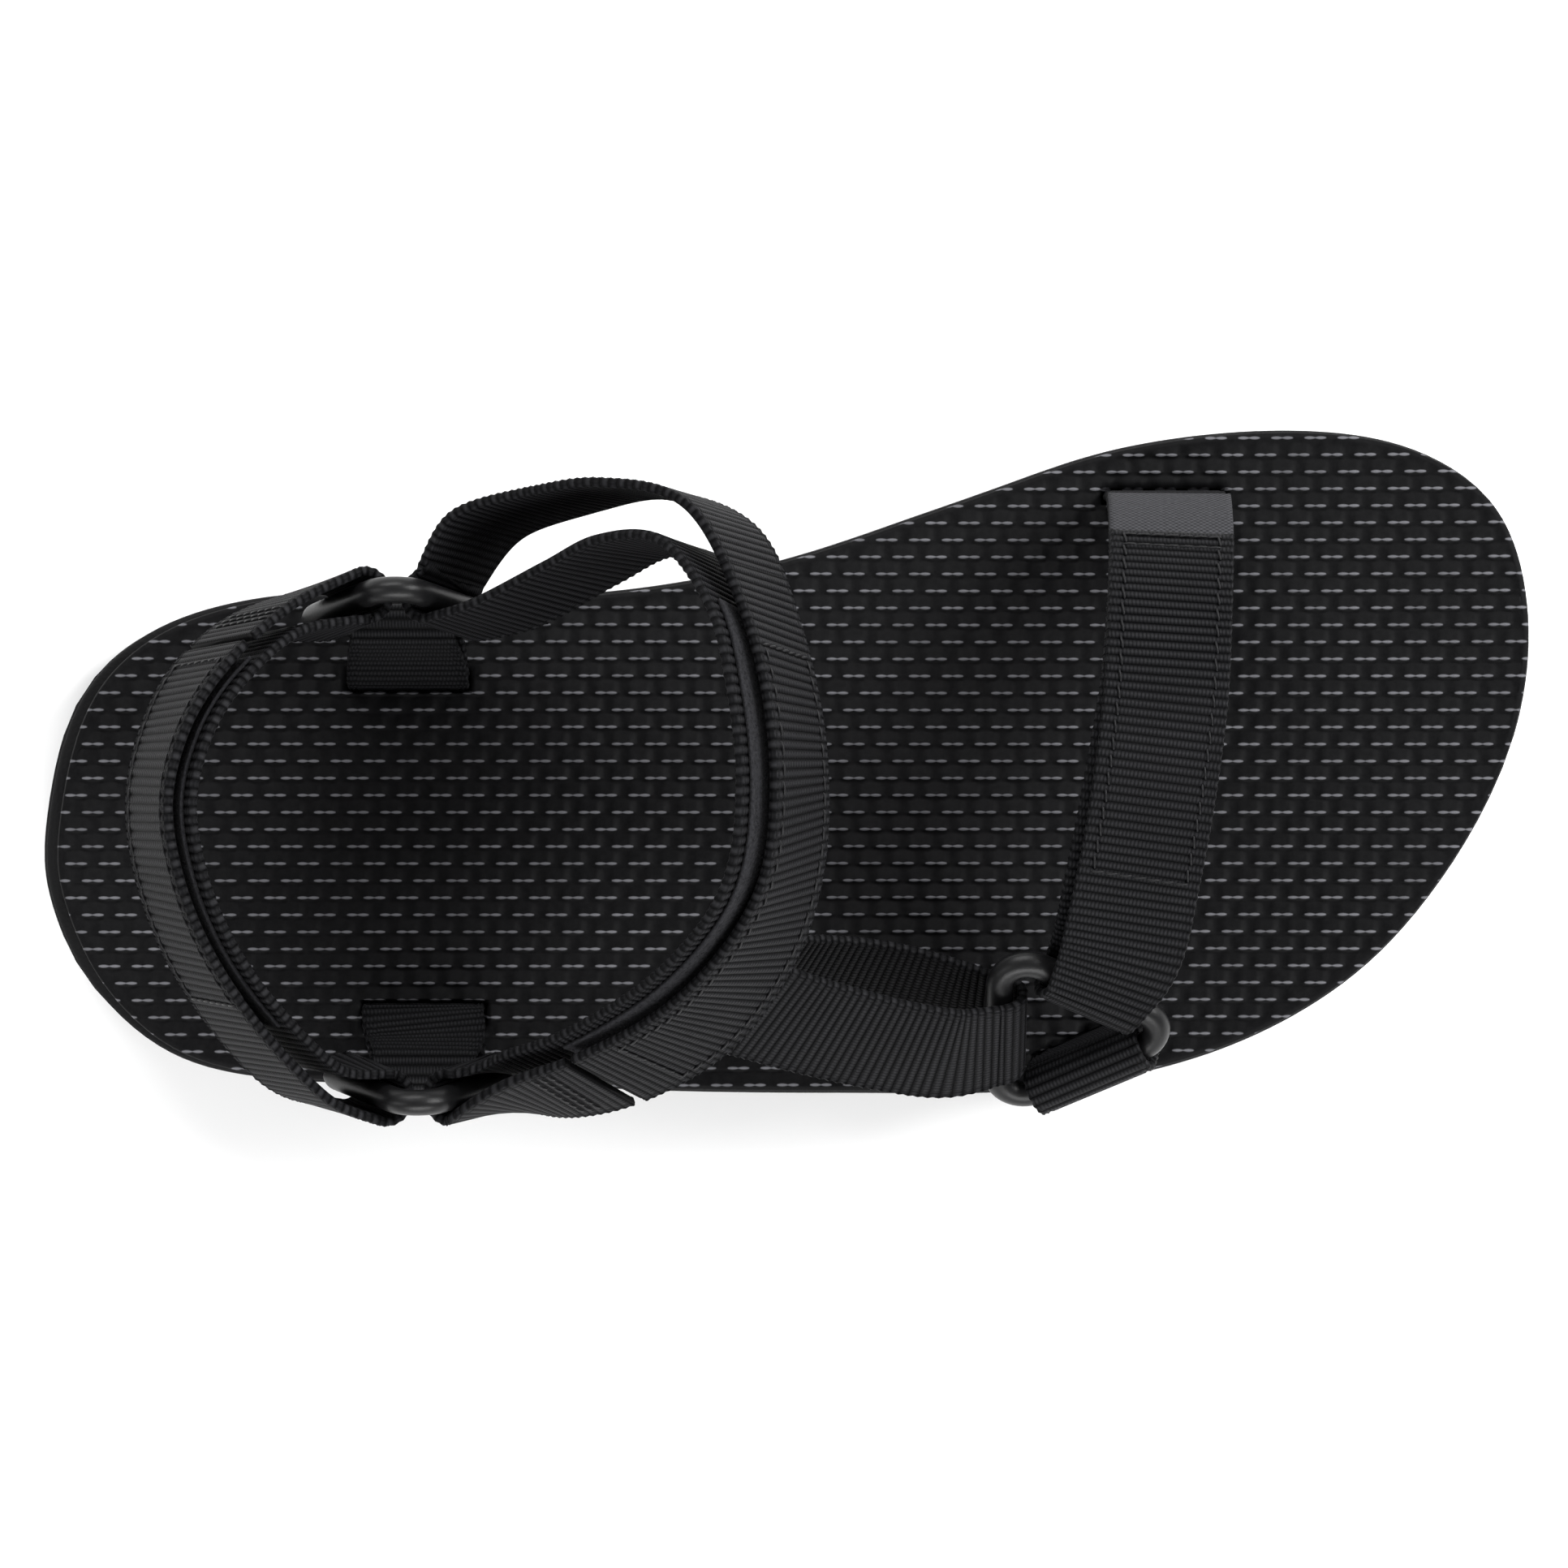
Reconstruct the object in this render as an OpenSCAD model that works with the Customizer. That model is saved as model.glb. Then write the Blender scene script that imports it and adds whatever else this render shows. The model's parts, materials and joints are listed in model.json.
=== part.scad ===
// Strappy sport sandal for the right foot, with three hook-and-loop straps.
// +X points to the toe, +Y to the inner (medial) side of the foot, +Z up, ground at z = 0.

/* [Sole] */
// Thickness of the whole sole under the heel
heel_height = 25; // [23:0.5:28]
// Thickness of the whole sole under the ball of the foot
ball_height = 20; // [19:0.5:22]
// Thickness of the footbed sheet
footbed_t = 4; // [3:0.5:4.5]
// Thickness of the rubber outsole, lugs included
outsole_t = 4.5; // [4:0.5:6]
// Depth of the tread grooves
tread_depth = 2; // [1:0.25:2.5]
// Spacing of the tread grooves along the sole
tread_pitch = 12; // [9:1:20]

/* [Webbing] */
// Width of the webbing
web_w = 20; // [18:0.5:20]
// Thickness of the webbing
web_t = 1.6; // [1.2:0.1:1.7]
// Width of the hook tape and of the loop tape
tape_w = 16; // [12:0.5:17]
// Thickness of each tape, backing and pile together
tape_t = 0.7; // [0.5:0.1:0.8]
// Width of a line of stitching
stitch_w = 0.8; // [0.5:0.1:1.2]

/* [Rings] */
// Side of the triangle that the middle of the ring's rod follows
ring_side = 35; // [34:0.5:37]
// Diameter of the ring's rod
ring_rod = 4.4; // [3.6:0.1:4.6]
// Radius of the ring's rounded corners, at the middle of the rod
ring_corner = 4.5; // [4:0.25:6]
// Room between the rod and a strap folded round it
fold_room = 0.9; // [0.8:0.1:1.2]

/* [Hidden] */
$fn = 48;

// space between the webbing and a tape or another layer that is sewn on it
sew_gap = 0.1;
// space under the stitching, and how high the stitching stands
stitch_gap = 0.25;
stitch_h = 0.3;
// seams lie this far from the middle of a strap
seam_w = tape_w / 2 - 0.3;
fold_r = ring_rod / 2 + fold_room;
anchor_r = ring_rod / 2 + 0.4;
// half the space between base and flap where hook and loop meet
closed = tape_t + sew_gap + 0.23;
half_w = web_w / 2;
pinch_w = 8.5;

// ---------- curves ----------
function unit(v) = v / norm(v);
function clampi(list, i) = list[max(0, min(len(list) - 1, i))];
function cubic(a, b, c, d, t) = 0.5 * (2 * b + (c - a) * t
    + (2 * a - 5 * b + 4 * c - d) * t * t + (3 * b - a - 3 * c + d) * t * t * t);
// point of an open curve through the rows, at parameter s counted in rows
function on_curve(rows, s) = let (i = min(floor(s), len(rows) - 2))
    cubic(clampi(rows, i - 1), rows[i], rows[i + 1], clampi(rows, i + 2), s - i);
// closed curve through the points, with the given number of steps between them
function closed_curve(pts, steps) = [for (i = [0 : len(pts) - 1], k = [0 : steps - 1])
    let (n = len(pts)) cubic(pts[(i + n - 1) % n], pts[i], pts[(i + 1) % n],
        pts[(i + 2) % n], k / steps)];

// ---------- sole ----------
outline_pts = [[-124.5, -8], [-119.5, 13.5], [-106.5, 26], [-85.5, 31.5], [-58, 31.5],
    [-30, 32], [-2, 37], [28, 47], [55, 56], [82, 59], [103.5, 56], [118, 45.5], [123, 27],
    [120, 6], [109, -15.5], [93, -33], [70.5, -45], [42, -51], [10, -51.5], [-22, -51],
    [-50, -49.5], [-80.5, -49.5], [-101.5, -46], [-116, -35], [-123, -21.5]];
// how far the top edge is set in from the bottom edge, more round the heel
function inset_at(x) = 0.6 + 3.6 * pow(max(0, min(1, (-x - 70) / 50)), 2);
function outline(share) = let (c = closed_curve(outline_pts, 4), n = len(c))
    [for (i = [0 : n - 1]) let (t = unit(c[(i + 1) % n] - c[(i + n - 1) % n]))
        c[i] - share * inset_at(c[i].x) * [-t.y, t.x]];

top_rows = [[-126, heel_height + 1.2], [-105, heel_height + 0.2], [-80, heel_height],
    [-50, heel_height], [-20, heel_height - 1.2], [15, ball_height + 1],
    [45, ball_height], [75, ball_height + 0.4], [100, ball_height + 2.6],
    [126, ball_height + 6.5]];
bottom_rows = [[-126, 4], [-114, 1.2], [-104, 0], [62, 0], [80, 1.2], [100, 4.2],
    [126, 10]];
function level(rows, lift) = [for (k = [0 : 4 * (len(rows) - 1)])
    on_curve(rows, k / 4) + [0, lift]];
function straight(rows, lift) = [for (r = rows) r + [0, lift]];
function backwards(list) = [for (i = [len(list) - 1 : -1 : 0]) list[i]];

module layer(share, low, high) {
    intersection() {
        linear_extrude(60) polygon(outline(share));
        translate([0, 80, 0]) rotate([90, 0, 0]) linear_extrude(160)
            polygon(concat(low, backwards(high)));
    }
}

// slots: [x, y, angle, width across] where webbing enters the sole
toe_slot = [62.5, 47.8, 0, 3];
front_slot = [50.8, -42.7, 24, 5.6];
medial_slot = [-62.5, 17.2, 0, 5.6];
lateral_slot = [-60, -37.8, 0, 5.6];
slots = [toe_slot, front_slot, medial_slot, lateral_slot];
slot_depth = 11;
module slot_cuts() {
    for (s = slots)
        translate([s.x, s.y, ball_height - slot_depth + (s.x < 0 ? 4 : 0)])
            rotate([0, 0, s[2]]) translate([-half_w - 0.8, -s[3] / 2, 0])
                cube([web_w + 1.6, s[3], 30]);
}

module outsole() {
    color("#1c1c1d") difference() {
        layer(0, straight(bottom_rows, 0), straight(bottom_rows, outsole_t));
        for (x = [-112 : tread_pitch : 116])
            translate([x, -70, -1]) cube([3, 140, tread_depth + 1 + max(0, (x - 62) / 9)]);
        for (y = [-36, -12, 12, 36])
            translate([-130, y, -1]) cube([260, 3, tread_depth + 1]);
    }
}
module midsole() {
    color("#202021") difference() {
        layer(0.5, straight(bottom_rows, outsole_t), level(top_rows, -footbed_t));
        slot_cuts();
    }
}
module footbed() {
    color("#242425") difference() {
        layer(1, level(top_rows, -footbed_t), level(top_rows, 0));
        slot_cuts();
    }
}

// ---------- rings ----------
ring_in = ring_side / (2 * sqrt(3));
straight_l = ring_side - 2 * sqrt(3) * ring_corner;
// each ring: centre, sideways direction, direction of its apex
front_tilt = 40;
front_spot = [[44.5, -40, 38], [0, -cos(front_tilt), -sin(front_tilt)], [1, 0, 0]];
medial_tilt = 79;
medial_spot = [[-62.5, 28, 45.2], [1, 0, 0], [0, cos(medial_tilt), sin(medial_tilt)]];
lateral_tilt = 99;
lateral_spot = [[-59, -48.3, 45.2], [1, 0, 0], [0, cos(lateral_tilt), sin(lateral_tilt)]];
// outward directions of the rings
front_normal = [0, -sin(front_tilt), cos(front_tilt)];
medial_normal = [0, sin(medial_tilt), -cos(medial_tilt)];
lateral_normal = [0, -sin(lateral_tilt), cos(lateral_tilt)];
// directions from the centre to a ring's three bars: opposite the apex, left, right
function bar_dir(spot, k) = k == 0 ? -spot[2]
    : (k == 1 ? -1 : 1) * cos(30) * spot[1] + 0.5 * spot[2];
function bar_mid(spot, k) = spot[0] + ring_in * bar_dir(spot, k);

module ring(spot) {
    side = cross(spot[1], spot[2]);
    turn = [for (i = [0 : 2]) [spot[1][i], spot[2][i], side[i], spot[0][i]]];
    multmatrix(concat(turn, [[0, 0, 0, 1]]))
        for (a = [0, 120, 240]) rotate([0, 0, a]) {
            translate([0, -ring_in, 0]) rotate([0, 90, 0])
                cylinder(h = straight_l, d = ring_rod, center = true);
            translate([straight_l / 2, ring_corner - ring_in, 0]) rotate([0, 0, -90])
                rotate_extrude(angle = 120) translate([ring_corner, 0])
                    circle(d = ring_rod);
        }
}
module front_ring() { color("#3a3a3c") ring(front_spot); }
module medial_ring() { color("#3a3a3c") ring(medial_spot); }
module lateral_ring() { color("#3a3a3c") ring(lateral_spot); }

// ---------- straps ----------
// A strap's route is a list of rows [place, outward direction, spaces, half width].
// The route runs midway between two layers; spaces = [to inner layer, to outer layer,
// sideways shift of the outer layer].
function flat_rows(route) = [for (r = route) concat(r[0], r[1], r[2], [r[3]])];
places_per_row = 6;
station = 1 / places_per_row;
// places in rows from s0 to s1; every piece of a strap shares those between its ends
function stations(s0, s1, per_row) = concat(s0,
    [for (k = [floor(s0 * per_row) + 1 : ceil(s1 * per_row) - 1]) k / per_row], s1);
// samples from row s0 to row s1, each [place, direction, sideways, spaces, half width]
function samples(route, s0, s1, per_row = places_per_row) = let (rows = flat_rows(route))
    [for (s = stations(s0, s1, per_row)) let (
        a = on_curve(rows, s),
        e = 0.02,
        hi = on_curve(rows, min(s + e, len(rows) - 1)),
        lo = on_curve(rows, max(s - e, 0)),
        t = unit([hi[0] - lo[0], hi[1] - lo[1], hi[2] - lo[2]]),
        w = unit(cross([a[3], a[4], a[5]], t)),
        n = cross(t, w))
        [[a[0], a[1], a[2]], n, w, [a[6], a[7], a[8]], a[9]]];
// frames of webbing: [place, direction in which it is thick, sideways, half width]
function inner_layer(smp) = [for (s = smp)
    [s[0] - s[1] * s[3][0], -s[1], -s[2], s[4]]];
// inner layer walked back towards the ring
function inner_walk(smp) = backwards([for (s = smp)
    [s[0] - s[1] * s[3][0], -s[1], s[2], s[4]]]);
function outer_layer(smp) = [for (s = smp)
    [s[0] + s[1] * s[3][1] + s[2] * s[3][2], s[1], s[2], s[4]]];
// outer layer walked back, for webbing that returns on its outer side
function return_layer(smp) = backwards([for (s = smp)
    [s[0] + s[1] * s[3][1] + s[2] * s[3][2], s[1], -s[2], s[4]]]);
// fold round a bar: away is the direction in which the strap leaves the ring
function fold(mid, away, out, r, from, to, steps, flip, half = pinch_w) =
    [for (k = [0 : steps]) let (a = from + (to - from) * k / steps, d = -away * cos(a) + out * sin(a))
        [mid + d * r, d, flip * unit(cross(out, away)), half]];

// solid strip along frames, between two heights and between two sideways edges, or as wide
// as each frame says; inner is true on the layer that faces the foot, so that the facets
// of neighbouring pieces lie parallel where a strap twists
module strip(frames, low, high, inner, left, right) {
    n = len(frames);
    points = [for (f = frames, c = [[low, 0], [high, 0], [high, 1], [low, 1]])
        let (side = c[1] == 0 ? (is_undef(left) ? -f[3] : left)
            : (is_undef(right) ? f[3] : right))
        f[0] + f[1] * c[0] + f[2] * side];
    sides = [for (i = [0 : n - 2], j = [0 : 3], tri = [0, 1])
        let (a = 4 * i + j, b = 4 * i + (j + 1) % 4)
            j == (inner ? 1 : 3) ? (tri == 0 ? [a, b, a + 4] : [b, b + 4, a + 4])
            : (tri == 0 ? [a, b, b + 4] : [a, b + 4, a + 4])];
    last = 4 * (n - 1);
    ends = [[3, 2, 1], [3, 1, 0], [last, last + 1, last + 2], [last, last + 2, last + 3]];
    polyhedron(points, concat(sides, ends));
}
module webbing(frames, inner = false) { strip(frames, 0, web_t, inner); }
module tape(frames, inner) {
    strip(frames, -sew_gap - tape_t, -sew_gap, inner, -tape_w / 2, tape_w / 2);
}
// line of stitching on a strap, between two sideways edges; returned is true on a sewn end,
// whose facets run the other way
module stitching(frames, left, right, returned = false) {
    strip(frames, web_t + stitch_gap, web_t + stitch_gap + stitch_h, returned, left, right);
}
// line of stitching across a strap, from row s of its route to the next place
module cross_stitch(route, s, returned = false) {
    stitching(outer_layer(samples(route, s, s + station)), -seam_w + stitch_w,
        seam_w - stitch_w, returned);
}
// all the stitching of a strap's end
module flap_stitching(route, from, to) {
    for (s = [from, to - station]) cross_stitch(route, s);
    for (side = [-seam_w, seam_w])
        stitching(outer_layer(samples(route, from, to)), side - stitch_w / 2, side + stitch_w / 2);
}

// room for a fold at a ring, and the normal stack elsewhere
at_ring = [fold_r, fold_r, 0];
shut = [closed, closed, 0];

// toe strap, from the front ring across to the slot on the inner side
toe_route = [
    [bar_mid(front_spot, 1), front_normal, at_ring, pinch_w],
    [[53, -26, 49.5], [0.02, -0.58, 0.81], [2.2, 2, -0.5], half_w],
    [[55, -14, 55], [0.04, -0.36, 0.93], [closed, closed, -1.2], half_w],
    [[57.5, 0, 58.6], [0.05, -0.1, 0.99], [closed, closed, -1], half_w],
    [[59.8, 14, 58.8], [0.04, 0.16, 0.98], [closed, closed, -0.5], half_w],
    [[61.2, 27, 55], [0.03, 0.45, 0.89], shut, half_w],
    [[62, 38, 47.5], [0.02, 0.74, 0.67], shut, half_w],
    [[62.4, 44.6, 38], [0.01, 0.92, 0.4], shut, half_w],
    [[62.5, 47.8, 28.5], [0, 0.99, 0.12], [0, closed, 0], half_w],
    [[62.5, 48.6, 20], [0, 1, 0], [0, closed, 0], half_w],
    [[62.5, 48.6, 10.5], [0, 1, 0], [0, closed, 0], half_w]];
toe_hook_from = 2;
toe_hook_to = 6;

module toe_strap_base() {
    color("#1e1e20") webbing(inner_layer(samples(toe_route, 0, 10)), true);
}
module toe_loop_tape() {
    color("#262628") tape(inner_layer(samples(toe_route, 1.5, 7)), true);
}
module toe_strap_flap() {
    color("#232325") webbing(concat(
        fold(bar_mid(front_spot, 1), bar_dir(front_spot, 1), front_normal, fold_r,
            0, 80, 5, 1),
        outer_layer(samples(toe_route, 0, 6.1))));
}
module toe_hook_tape() {
    color("#19191a")
        tape(outer_layer(samples(toe_route, toe_hook_from, toe_hook_to)), false);
}
module toe_pull_tab() {
    color("#58585c")
        strip(outer_layer(samples(toe_route, 6.14, 7.4)), -sew_gap - tape_t, 0.5, false);
}
module toe_flap_stitching() {
    color("#2c2c2e") flap_stitching(toe_route, toe_hook_from, toe_hook_to);
}

// loop of webbing that holds a ring: the fold is at the bar
module held_loop(route, mid, away, radius, per_row) {
    smp = samples(route, 0, len(route) - 1, per_row);
    webbing(concat(inner_walk(smp),
        fold(mid, away, route[0][1], radius, -80, 80, 6, 1, route[0][3]), outer_layer(smp)));
}

at_anchor = [anchor_r, anchor_r, 0];
pair = [sew_gap, sew_gap, 0];
front_bar = bar_mid(front_spot, 2);
front_w = cross(front_normal, bar_dir(front_spot, 2));
front_down = unit(cross(cross(front_w, [0, 0.3, -0.95]), front_w));
front_out = unit(cross(front_down, front_w));
// this loop is spread a little, so that it covers the corner of the ring
spread_w = half_w + 0.4;
front_anchor_route = [
    [front_bar, front_out, at_anchor, spread_w],
    [front_bar + front_down * 6, front_out, [1.2, 1.6, 0], spread_w + 0.4],
    [[50.6, -42.9, 21.5], [0.41, -0.91, -0.1], pair, spread_w],
    [[50.8, -42.7, 17], [0.41, -0.91, 0], pair, spread_w],
    [[50.8, -42.7, 10.5], [0.41, -0.91, 0], pair, spread_w]];
medial_bar = bar_mid(medial_spot, 0);
medial_down = unit([0, -0.66, -0.75]);
medial_anchor_route = [
    [medial_bar, [0, 0.75, -0.66], at_anchor, pinch_w],
    [medial_bar + medial_down * 6, [0, 0.78, -0.62], [1, 1.4, 0], 9.5],
    [[-62.5, 18, 26.5], [0, 0.93, -0.37], pair, half_w],
    [[-62.5, 17.2, 22.5], [0, 1, 0], pair, half_w],
    [[-62.5, 17.2, 15], [0, 1, 0], pair, half_w]];
lateral_bar = bar_mid(lateral_spot, 0);
lateral_down = unit([0, 0.64, -0.77]);
lateral_anchor_route = [
    [lateral_bar, [0, -0.77, -0.64], at_anchor, pinch_w],
    [lateral_bar + lateral_down * 6, [0, -0.79, -0.61], [1, 1.4, 0], 9.5],
    [[-60, -38.6, 26.5], [0, -0.93, -0.37], pair, half_w],
    [[-60, -37.8, 22.5], [0, -1, 0], pair, half_w],
    [[-60, -37.8, 15], [0, -1, 0], pair, half_w]];

module front_anchor_strap() {
    color("#202022")
        held_loop(front_anchor_route, front_bar, front_down, anchor_r, 2);
}
module medial_anchor_strap() {
    color("#202022")
        held_loop(medial_anchor_route, medial_bar, medial_down, anchor_r, 2);
}
module lateral_anchor_strap() {
    color("#202022")
        held_loop(lateral_anchor_route, lateral_bar, lateral_down, anchor_r, 2);
}

// side strap, from the rear bar of the front ring back to the instep strap
side_route = [
    [bar_mid(front_spot, 0), front_normal, at_ring, pinch_w],
    [[26, -40, 39], [0, -0.68, 0.73], [5.5, 4.6, 0], half_w],
    [[15, -39, 42.5], [0, -0.66, 0.75], [8, 3.6, 0], half_w],
    [[3, -37, 48], [0, -0.62, 0.78], [7, 2, 0], half_w],
    [[-8, -34.5, 55], [0.1, -0.6, 0.79], [3, 0.6, 0], half_w],
    [[-18, -33, 62], [0.3, -0.55, 0.78], pair, half_w]];
module side_strap() {
    color("#202022")
        held_loop(side_route, bar_mid(front_spot, 0), bar_dir(front_spot, 0), fold_r, 4);
}

// instep strap, from the inner ring over the instep to the outer ring
instep_route = [
    [bar_mid(medial_spot, 2), medial_normal, at_ring, pinch_w],
    [[-46, 32.5, 54.5], [-0.15, 0.95, -0.25], [4.6, 9, 0], half_w],
    [[-34, 38, 61.5], [-0.2, 0.94, -0.25], [4, 7, 0], half_w],
    [[-24, 41, 69], [0, 0.98, -0.1], [2.6, 4.8, 0], half_w],
    [[-13.5, 38.3, 77.5], [0.5, 0.84, 0.15], [1.6, 3.6, 1.5], half_w],
    [[-6.2, 27, 85.5], [0.82, 0.45, 0.35], [closed, closed, 3.5], half_w],
    [[-3, 14, 90], [0.9, 0.15, 0.4], [closed, closed, 4.5], half_w],
    [[-1.6, 0, 91], [0.91, -0.02, 0.41], [closed, closed, 4.5], half_w],
    [[-3, -13.7, 88.4], [0.86, -0.25, 0.44], [closed, closed, 4.5], half_w],
    [[-8.6, -26, 81.8], [0.68, -0.45, 0.58], [closed, closed, 4], half_w],
    [[-18, -36.8, 72.6], [0.48, -0.56, 0.68], [closed, closed, 3.5], half_w],
    [[-30, -44.6, 63], [0.28, -0.74, 0.61], [closed, closed, 2], half_w],
    [[-41, -48.5, 55.5], [0.08, -0.92, 0.35], [2, 1.4, 0], half_w],
    [bar_mid(lateral_spot, 2), lateral_normal, at_ring, pinch_w]];
// row where the free end bends away from the rest when it is peeled
instep_bend = 4;
instep_hook_from = 5.5;
instep_hook_to = 10.5;
module instep_strap_base() {
    color("#1e1e20") webbing(concat(
        return_layer(samples(instep_route, 0, instep_bend)),
        fold(bar_mid(medial_spot, 2), bar_dir(medial_spot, 2), medial_normal, fold_r,
            80, -80, 6, -1),
        inner_layer(samples(instep_route, 0, 13)),
        fold(bar_mid(lateral_spot, 2), bar_dir(lateral_spot, 2), lateral_normal, fold_r,
            -80, 80, 6, 1),
        return_layer(samples(instep_route, 11.1, 13))), true);
}
module instep_loop_tape() {
    color("#262628") tape(inner_layer(samples(instep_route, 5, 11)), true);
}
module instep_strap_flap() {
    color("#232325")
        webbing(outer_layer(samples(instep_route, instep_bend + 0.05, 11)));
}
module instep_hook_tape() {
    color("#19191a")
        tape(outer_layer(samples(instep_route, instep_hook_from, instep_hook_to)), false);
}
module instep_flap_stitching() {
    color("#2c2c2e") flap_stitching(instep_route, instep_hook_from, instep_hook_to);
}

// heel strap, from the outer ring round the heel to the inner ring
heel_route = [
    [bar_mid(lateral_spot, 1), lateral_normal, at_ring, pinch_w],
    [[-76.5, -47.5, 54.8], [-0.25, -0.96, 0.1], [1.8, 1.6, 0], half_w],
    [[-85, -38.5, 60.5], [-0.62, -0.7, 0.34], [1.2, 1.4, 0.4], half_w],
    [[-92.5, -27, 66], [-0.8, -0.43, 0.42], [closed, closed, 0.8], half_w],
    [[-97, -15, 69.3], [-0.88, -0.2, 0.42], [closed, closed, 0.8], half_w],
    [[-98.7, -3, 70.3], [-0.91, 0, 0.41], [closed, closed, 0.8], half_w],
    [[-96.5, 8, 69], [-0.85, 0.3, 0.42], [closed, closed, 0.6], half_w],
    [[-91.5, 17.5, 65], [-0.68, 0.6, 0.4], [closed, closed, 0.4], half_w],
    [[-83, 25.5, 58], [-0.32, 0.94, 0.12], [1.3, 1.3, 0], half_w],
    [bar_mid(medial_spot, 1), medial_normal, at_ring, pinch_w]];
heel_hook_from = 2.5;
heel_hook_to = 7;
module heel_strap_base() {
    color("#1e1e20") webbing(concat(
        inner_layer(samples(heel_route, 0, 9)),
        fold(bar_mid(medial_spot, 1), bar_dir(medial_spot, 1), medial_normal, fold_r,
            -80, 80, 6, 1),
        return_layer(samples(heel_route, 7.4, 9))), true);
}
module heel_loop_tape() {
    color("#262628") tape(inner_layer(samples(heel_route, 2, 7.25)), true);
}
module heel_strap_flap() {
    color("#232325") webbing(concat(
        fold(bar_mid(lateral_spot, 1), bar_dir(lateral_spot, 1), lateral_normal, fold_r,
            0, 80, 5, 1),
        outer_layer(samples(heel_route, 0, 7.3))));
}
module heel_hook_tape() {
    color("#19191a")
        tape(outer_layer(samples(heel_route, heel_hook_from, heel_hook_to)), false);
}
module heel_flap_stitching() {
    color("#2c2c2e") flap_stitching(heel_route, heel_hook_from, heel_hook_to);
}

// bar tacks that close the sewn loops of the heel strap and the instep strap
module strap_bar_tacks() {
    color("#2c2c2e") {
        for (k = [1, 3]) cross_stitch(heel_route, 7.5 + k * station, true);
        for (k = [2, 4]) cross_stitch(instep_route, 11 + k * station, true);
    }
}

outsole();
midsole();
footbed();
toe_strap_base();
toe_loop_tape();
toe_strap_flap();
toe_hook_tape();
toe_pull_tab();
toe_flap_stitching();
front_ring();
front_anchor_strap();
side_strap();
instep_strap_base();
instep_loop_tape();
instep_strap_flap();
instep_hook_tape();
instep_flap_stitching();
medial_ring();
lateral_ring();
medial_anchor_strap();
lateral_anchor_strap();
heel_strap_base();
heel_loop_tape();
heel_strap_flap();
heel_hook_tape();
heel_flap_stitching();
strap_bar_tacks();
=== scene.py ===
import json
import math

import bpy
import numpy as np
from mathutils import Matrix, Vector
from mathutils.bvhtree import BVHTree


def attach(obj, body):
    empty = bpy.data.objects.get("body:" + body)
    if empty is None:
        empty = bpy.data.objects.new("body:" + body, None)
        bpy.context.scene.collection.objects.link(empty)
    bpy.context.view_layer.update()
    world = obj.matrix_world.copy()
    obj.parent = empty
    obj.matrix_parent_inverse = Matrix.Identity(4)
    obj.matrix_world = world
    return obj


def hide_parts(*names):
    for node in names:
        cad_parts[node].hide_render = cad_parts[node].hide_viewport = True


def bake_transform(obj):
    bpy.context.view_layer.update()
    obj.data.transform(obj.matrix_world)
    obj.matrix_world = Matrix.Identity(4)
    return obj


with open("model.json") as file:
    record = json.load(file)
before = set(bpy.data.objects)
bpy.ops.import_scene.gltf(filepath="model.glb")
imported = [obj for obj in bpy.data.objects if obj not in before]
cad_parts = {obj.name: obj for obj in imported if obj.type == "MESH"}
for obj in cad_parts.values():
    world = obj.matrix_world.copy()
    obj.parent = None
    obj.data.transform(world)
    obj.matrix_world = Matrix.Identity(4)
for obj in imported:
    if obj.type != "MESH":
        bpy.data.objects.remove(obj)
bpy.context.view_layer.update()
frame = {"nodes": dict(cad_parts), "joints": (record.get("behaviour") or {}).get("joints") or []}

MM = 0.001

# ------------------------------------------------------------------------------------------
# The studio: a plain pale floor and soft light from large panels that stand all round, so
# that they rake across the moulded weave and leave the dark foam dark from above.


def linear(colour):
    """sRGB hex colour as linear RGBA."""
    parts = [int(colour[i : i + 2], 16) / 255 for i in (1, 3, 5)]
    return [c / 12.92 if c <= 0.04045 else ((c + 0.055) / 1.055) ** 2.4 for c in parts] + [1.0]


def add(tree, kind, settings=(), **inputs):
    """Adds a node and returns its first output. Inputs are given by name, or as _0, _1 ...
    by number, and each is a number, a colour or another node's output."""
    made = tree.nodes.new(kind)
    for name, value in dict(settings).items():
        setattr(made, name, value)
    for name, value in inputs.items():
        socket = made.inputs[int(name[1:]) if name[0] == "_" else name.replace("_", " ")]
        if isinstance(value, bpy.types.NodeSocket):
            tree.links.new(value, socket)
        else:
            socket.default_value = value
    return next(o for o in made.outputs if o.enabled)


def maths(tree, operation, first, second=0.0, third=0.0, clamp=False):
    """A maths node."""
    settings = {"operation": operation, "use_clamp": clamp}
    return add(tree, "ShaderNodeMath", settings, _0=first, _1=second, _2=third)


def mix(tree, share, first, second):
    """A colour between two colours."""
    return add(tree, "ShaderNodeMix", {"data_type": "RGBA"}, _0=share, _6=first, _7=second)


def place_in(tree):
    """Places in the sandal's own frame, in metres."""
    return add(tree, "ShaderNodeTexCoord").node.outputs["Object"]


def new_material(name, roughness, specular=0.5):
    """A material with a Principled shader; returns the material, its tree and the shader."""
    made = bpy.data.materials.new(name)
    made.use_nodes = True
    shader = made.node_tree.nodes["Principled BSDF"]
    shader.inputs["Roughness"].default_value = roughness
    shader.inputs["Specular IOR Level"].default_value = specular
    return made, made.node_tree, shader


def finish(tree, shader, colour, height, distance, strength=1.0):
    """Connects a colour, and a height in shares of the given distance, to the shader."""
    tree.links.new(colour, shader.inputs["Base Color"])
    bump = add(tree, "ShaderNodeBump", Strength=strength, Distance=distance, Height=height)
    tree.links.new(bump, shader.inputs["Normal"])


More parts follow.
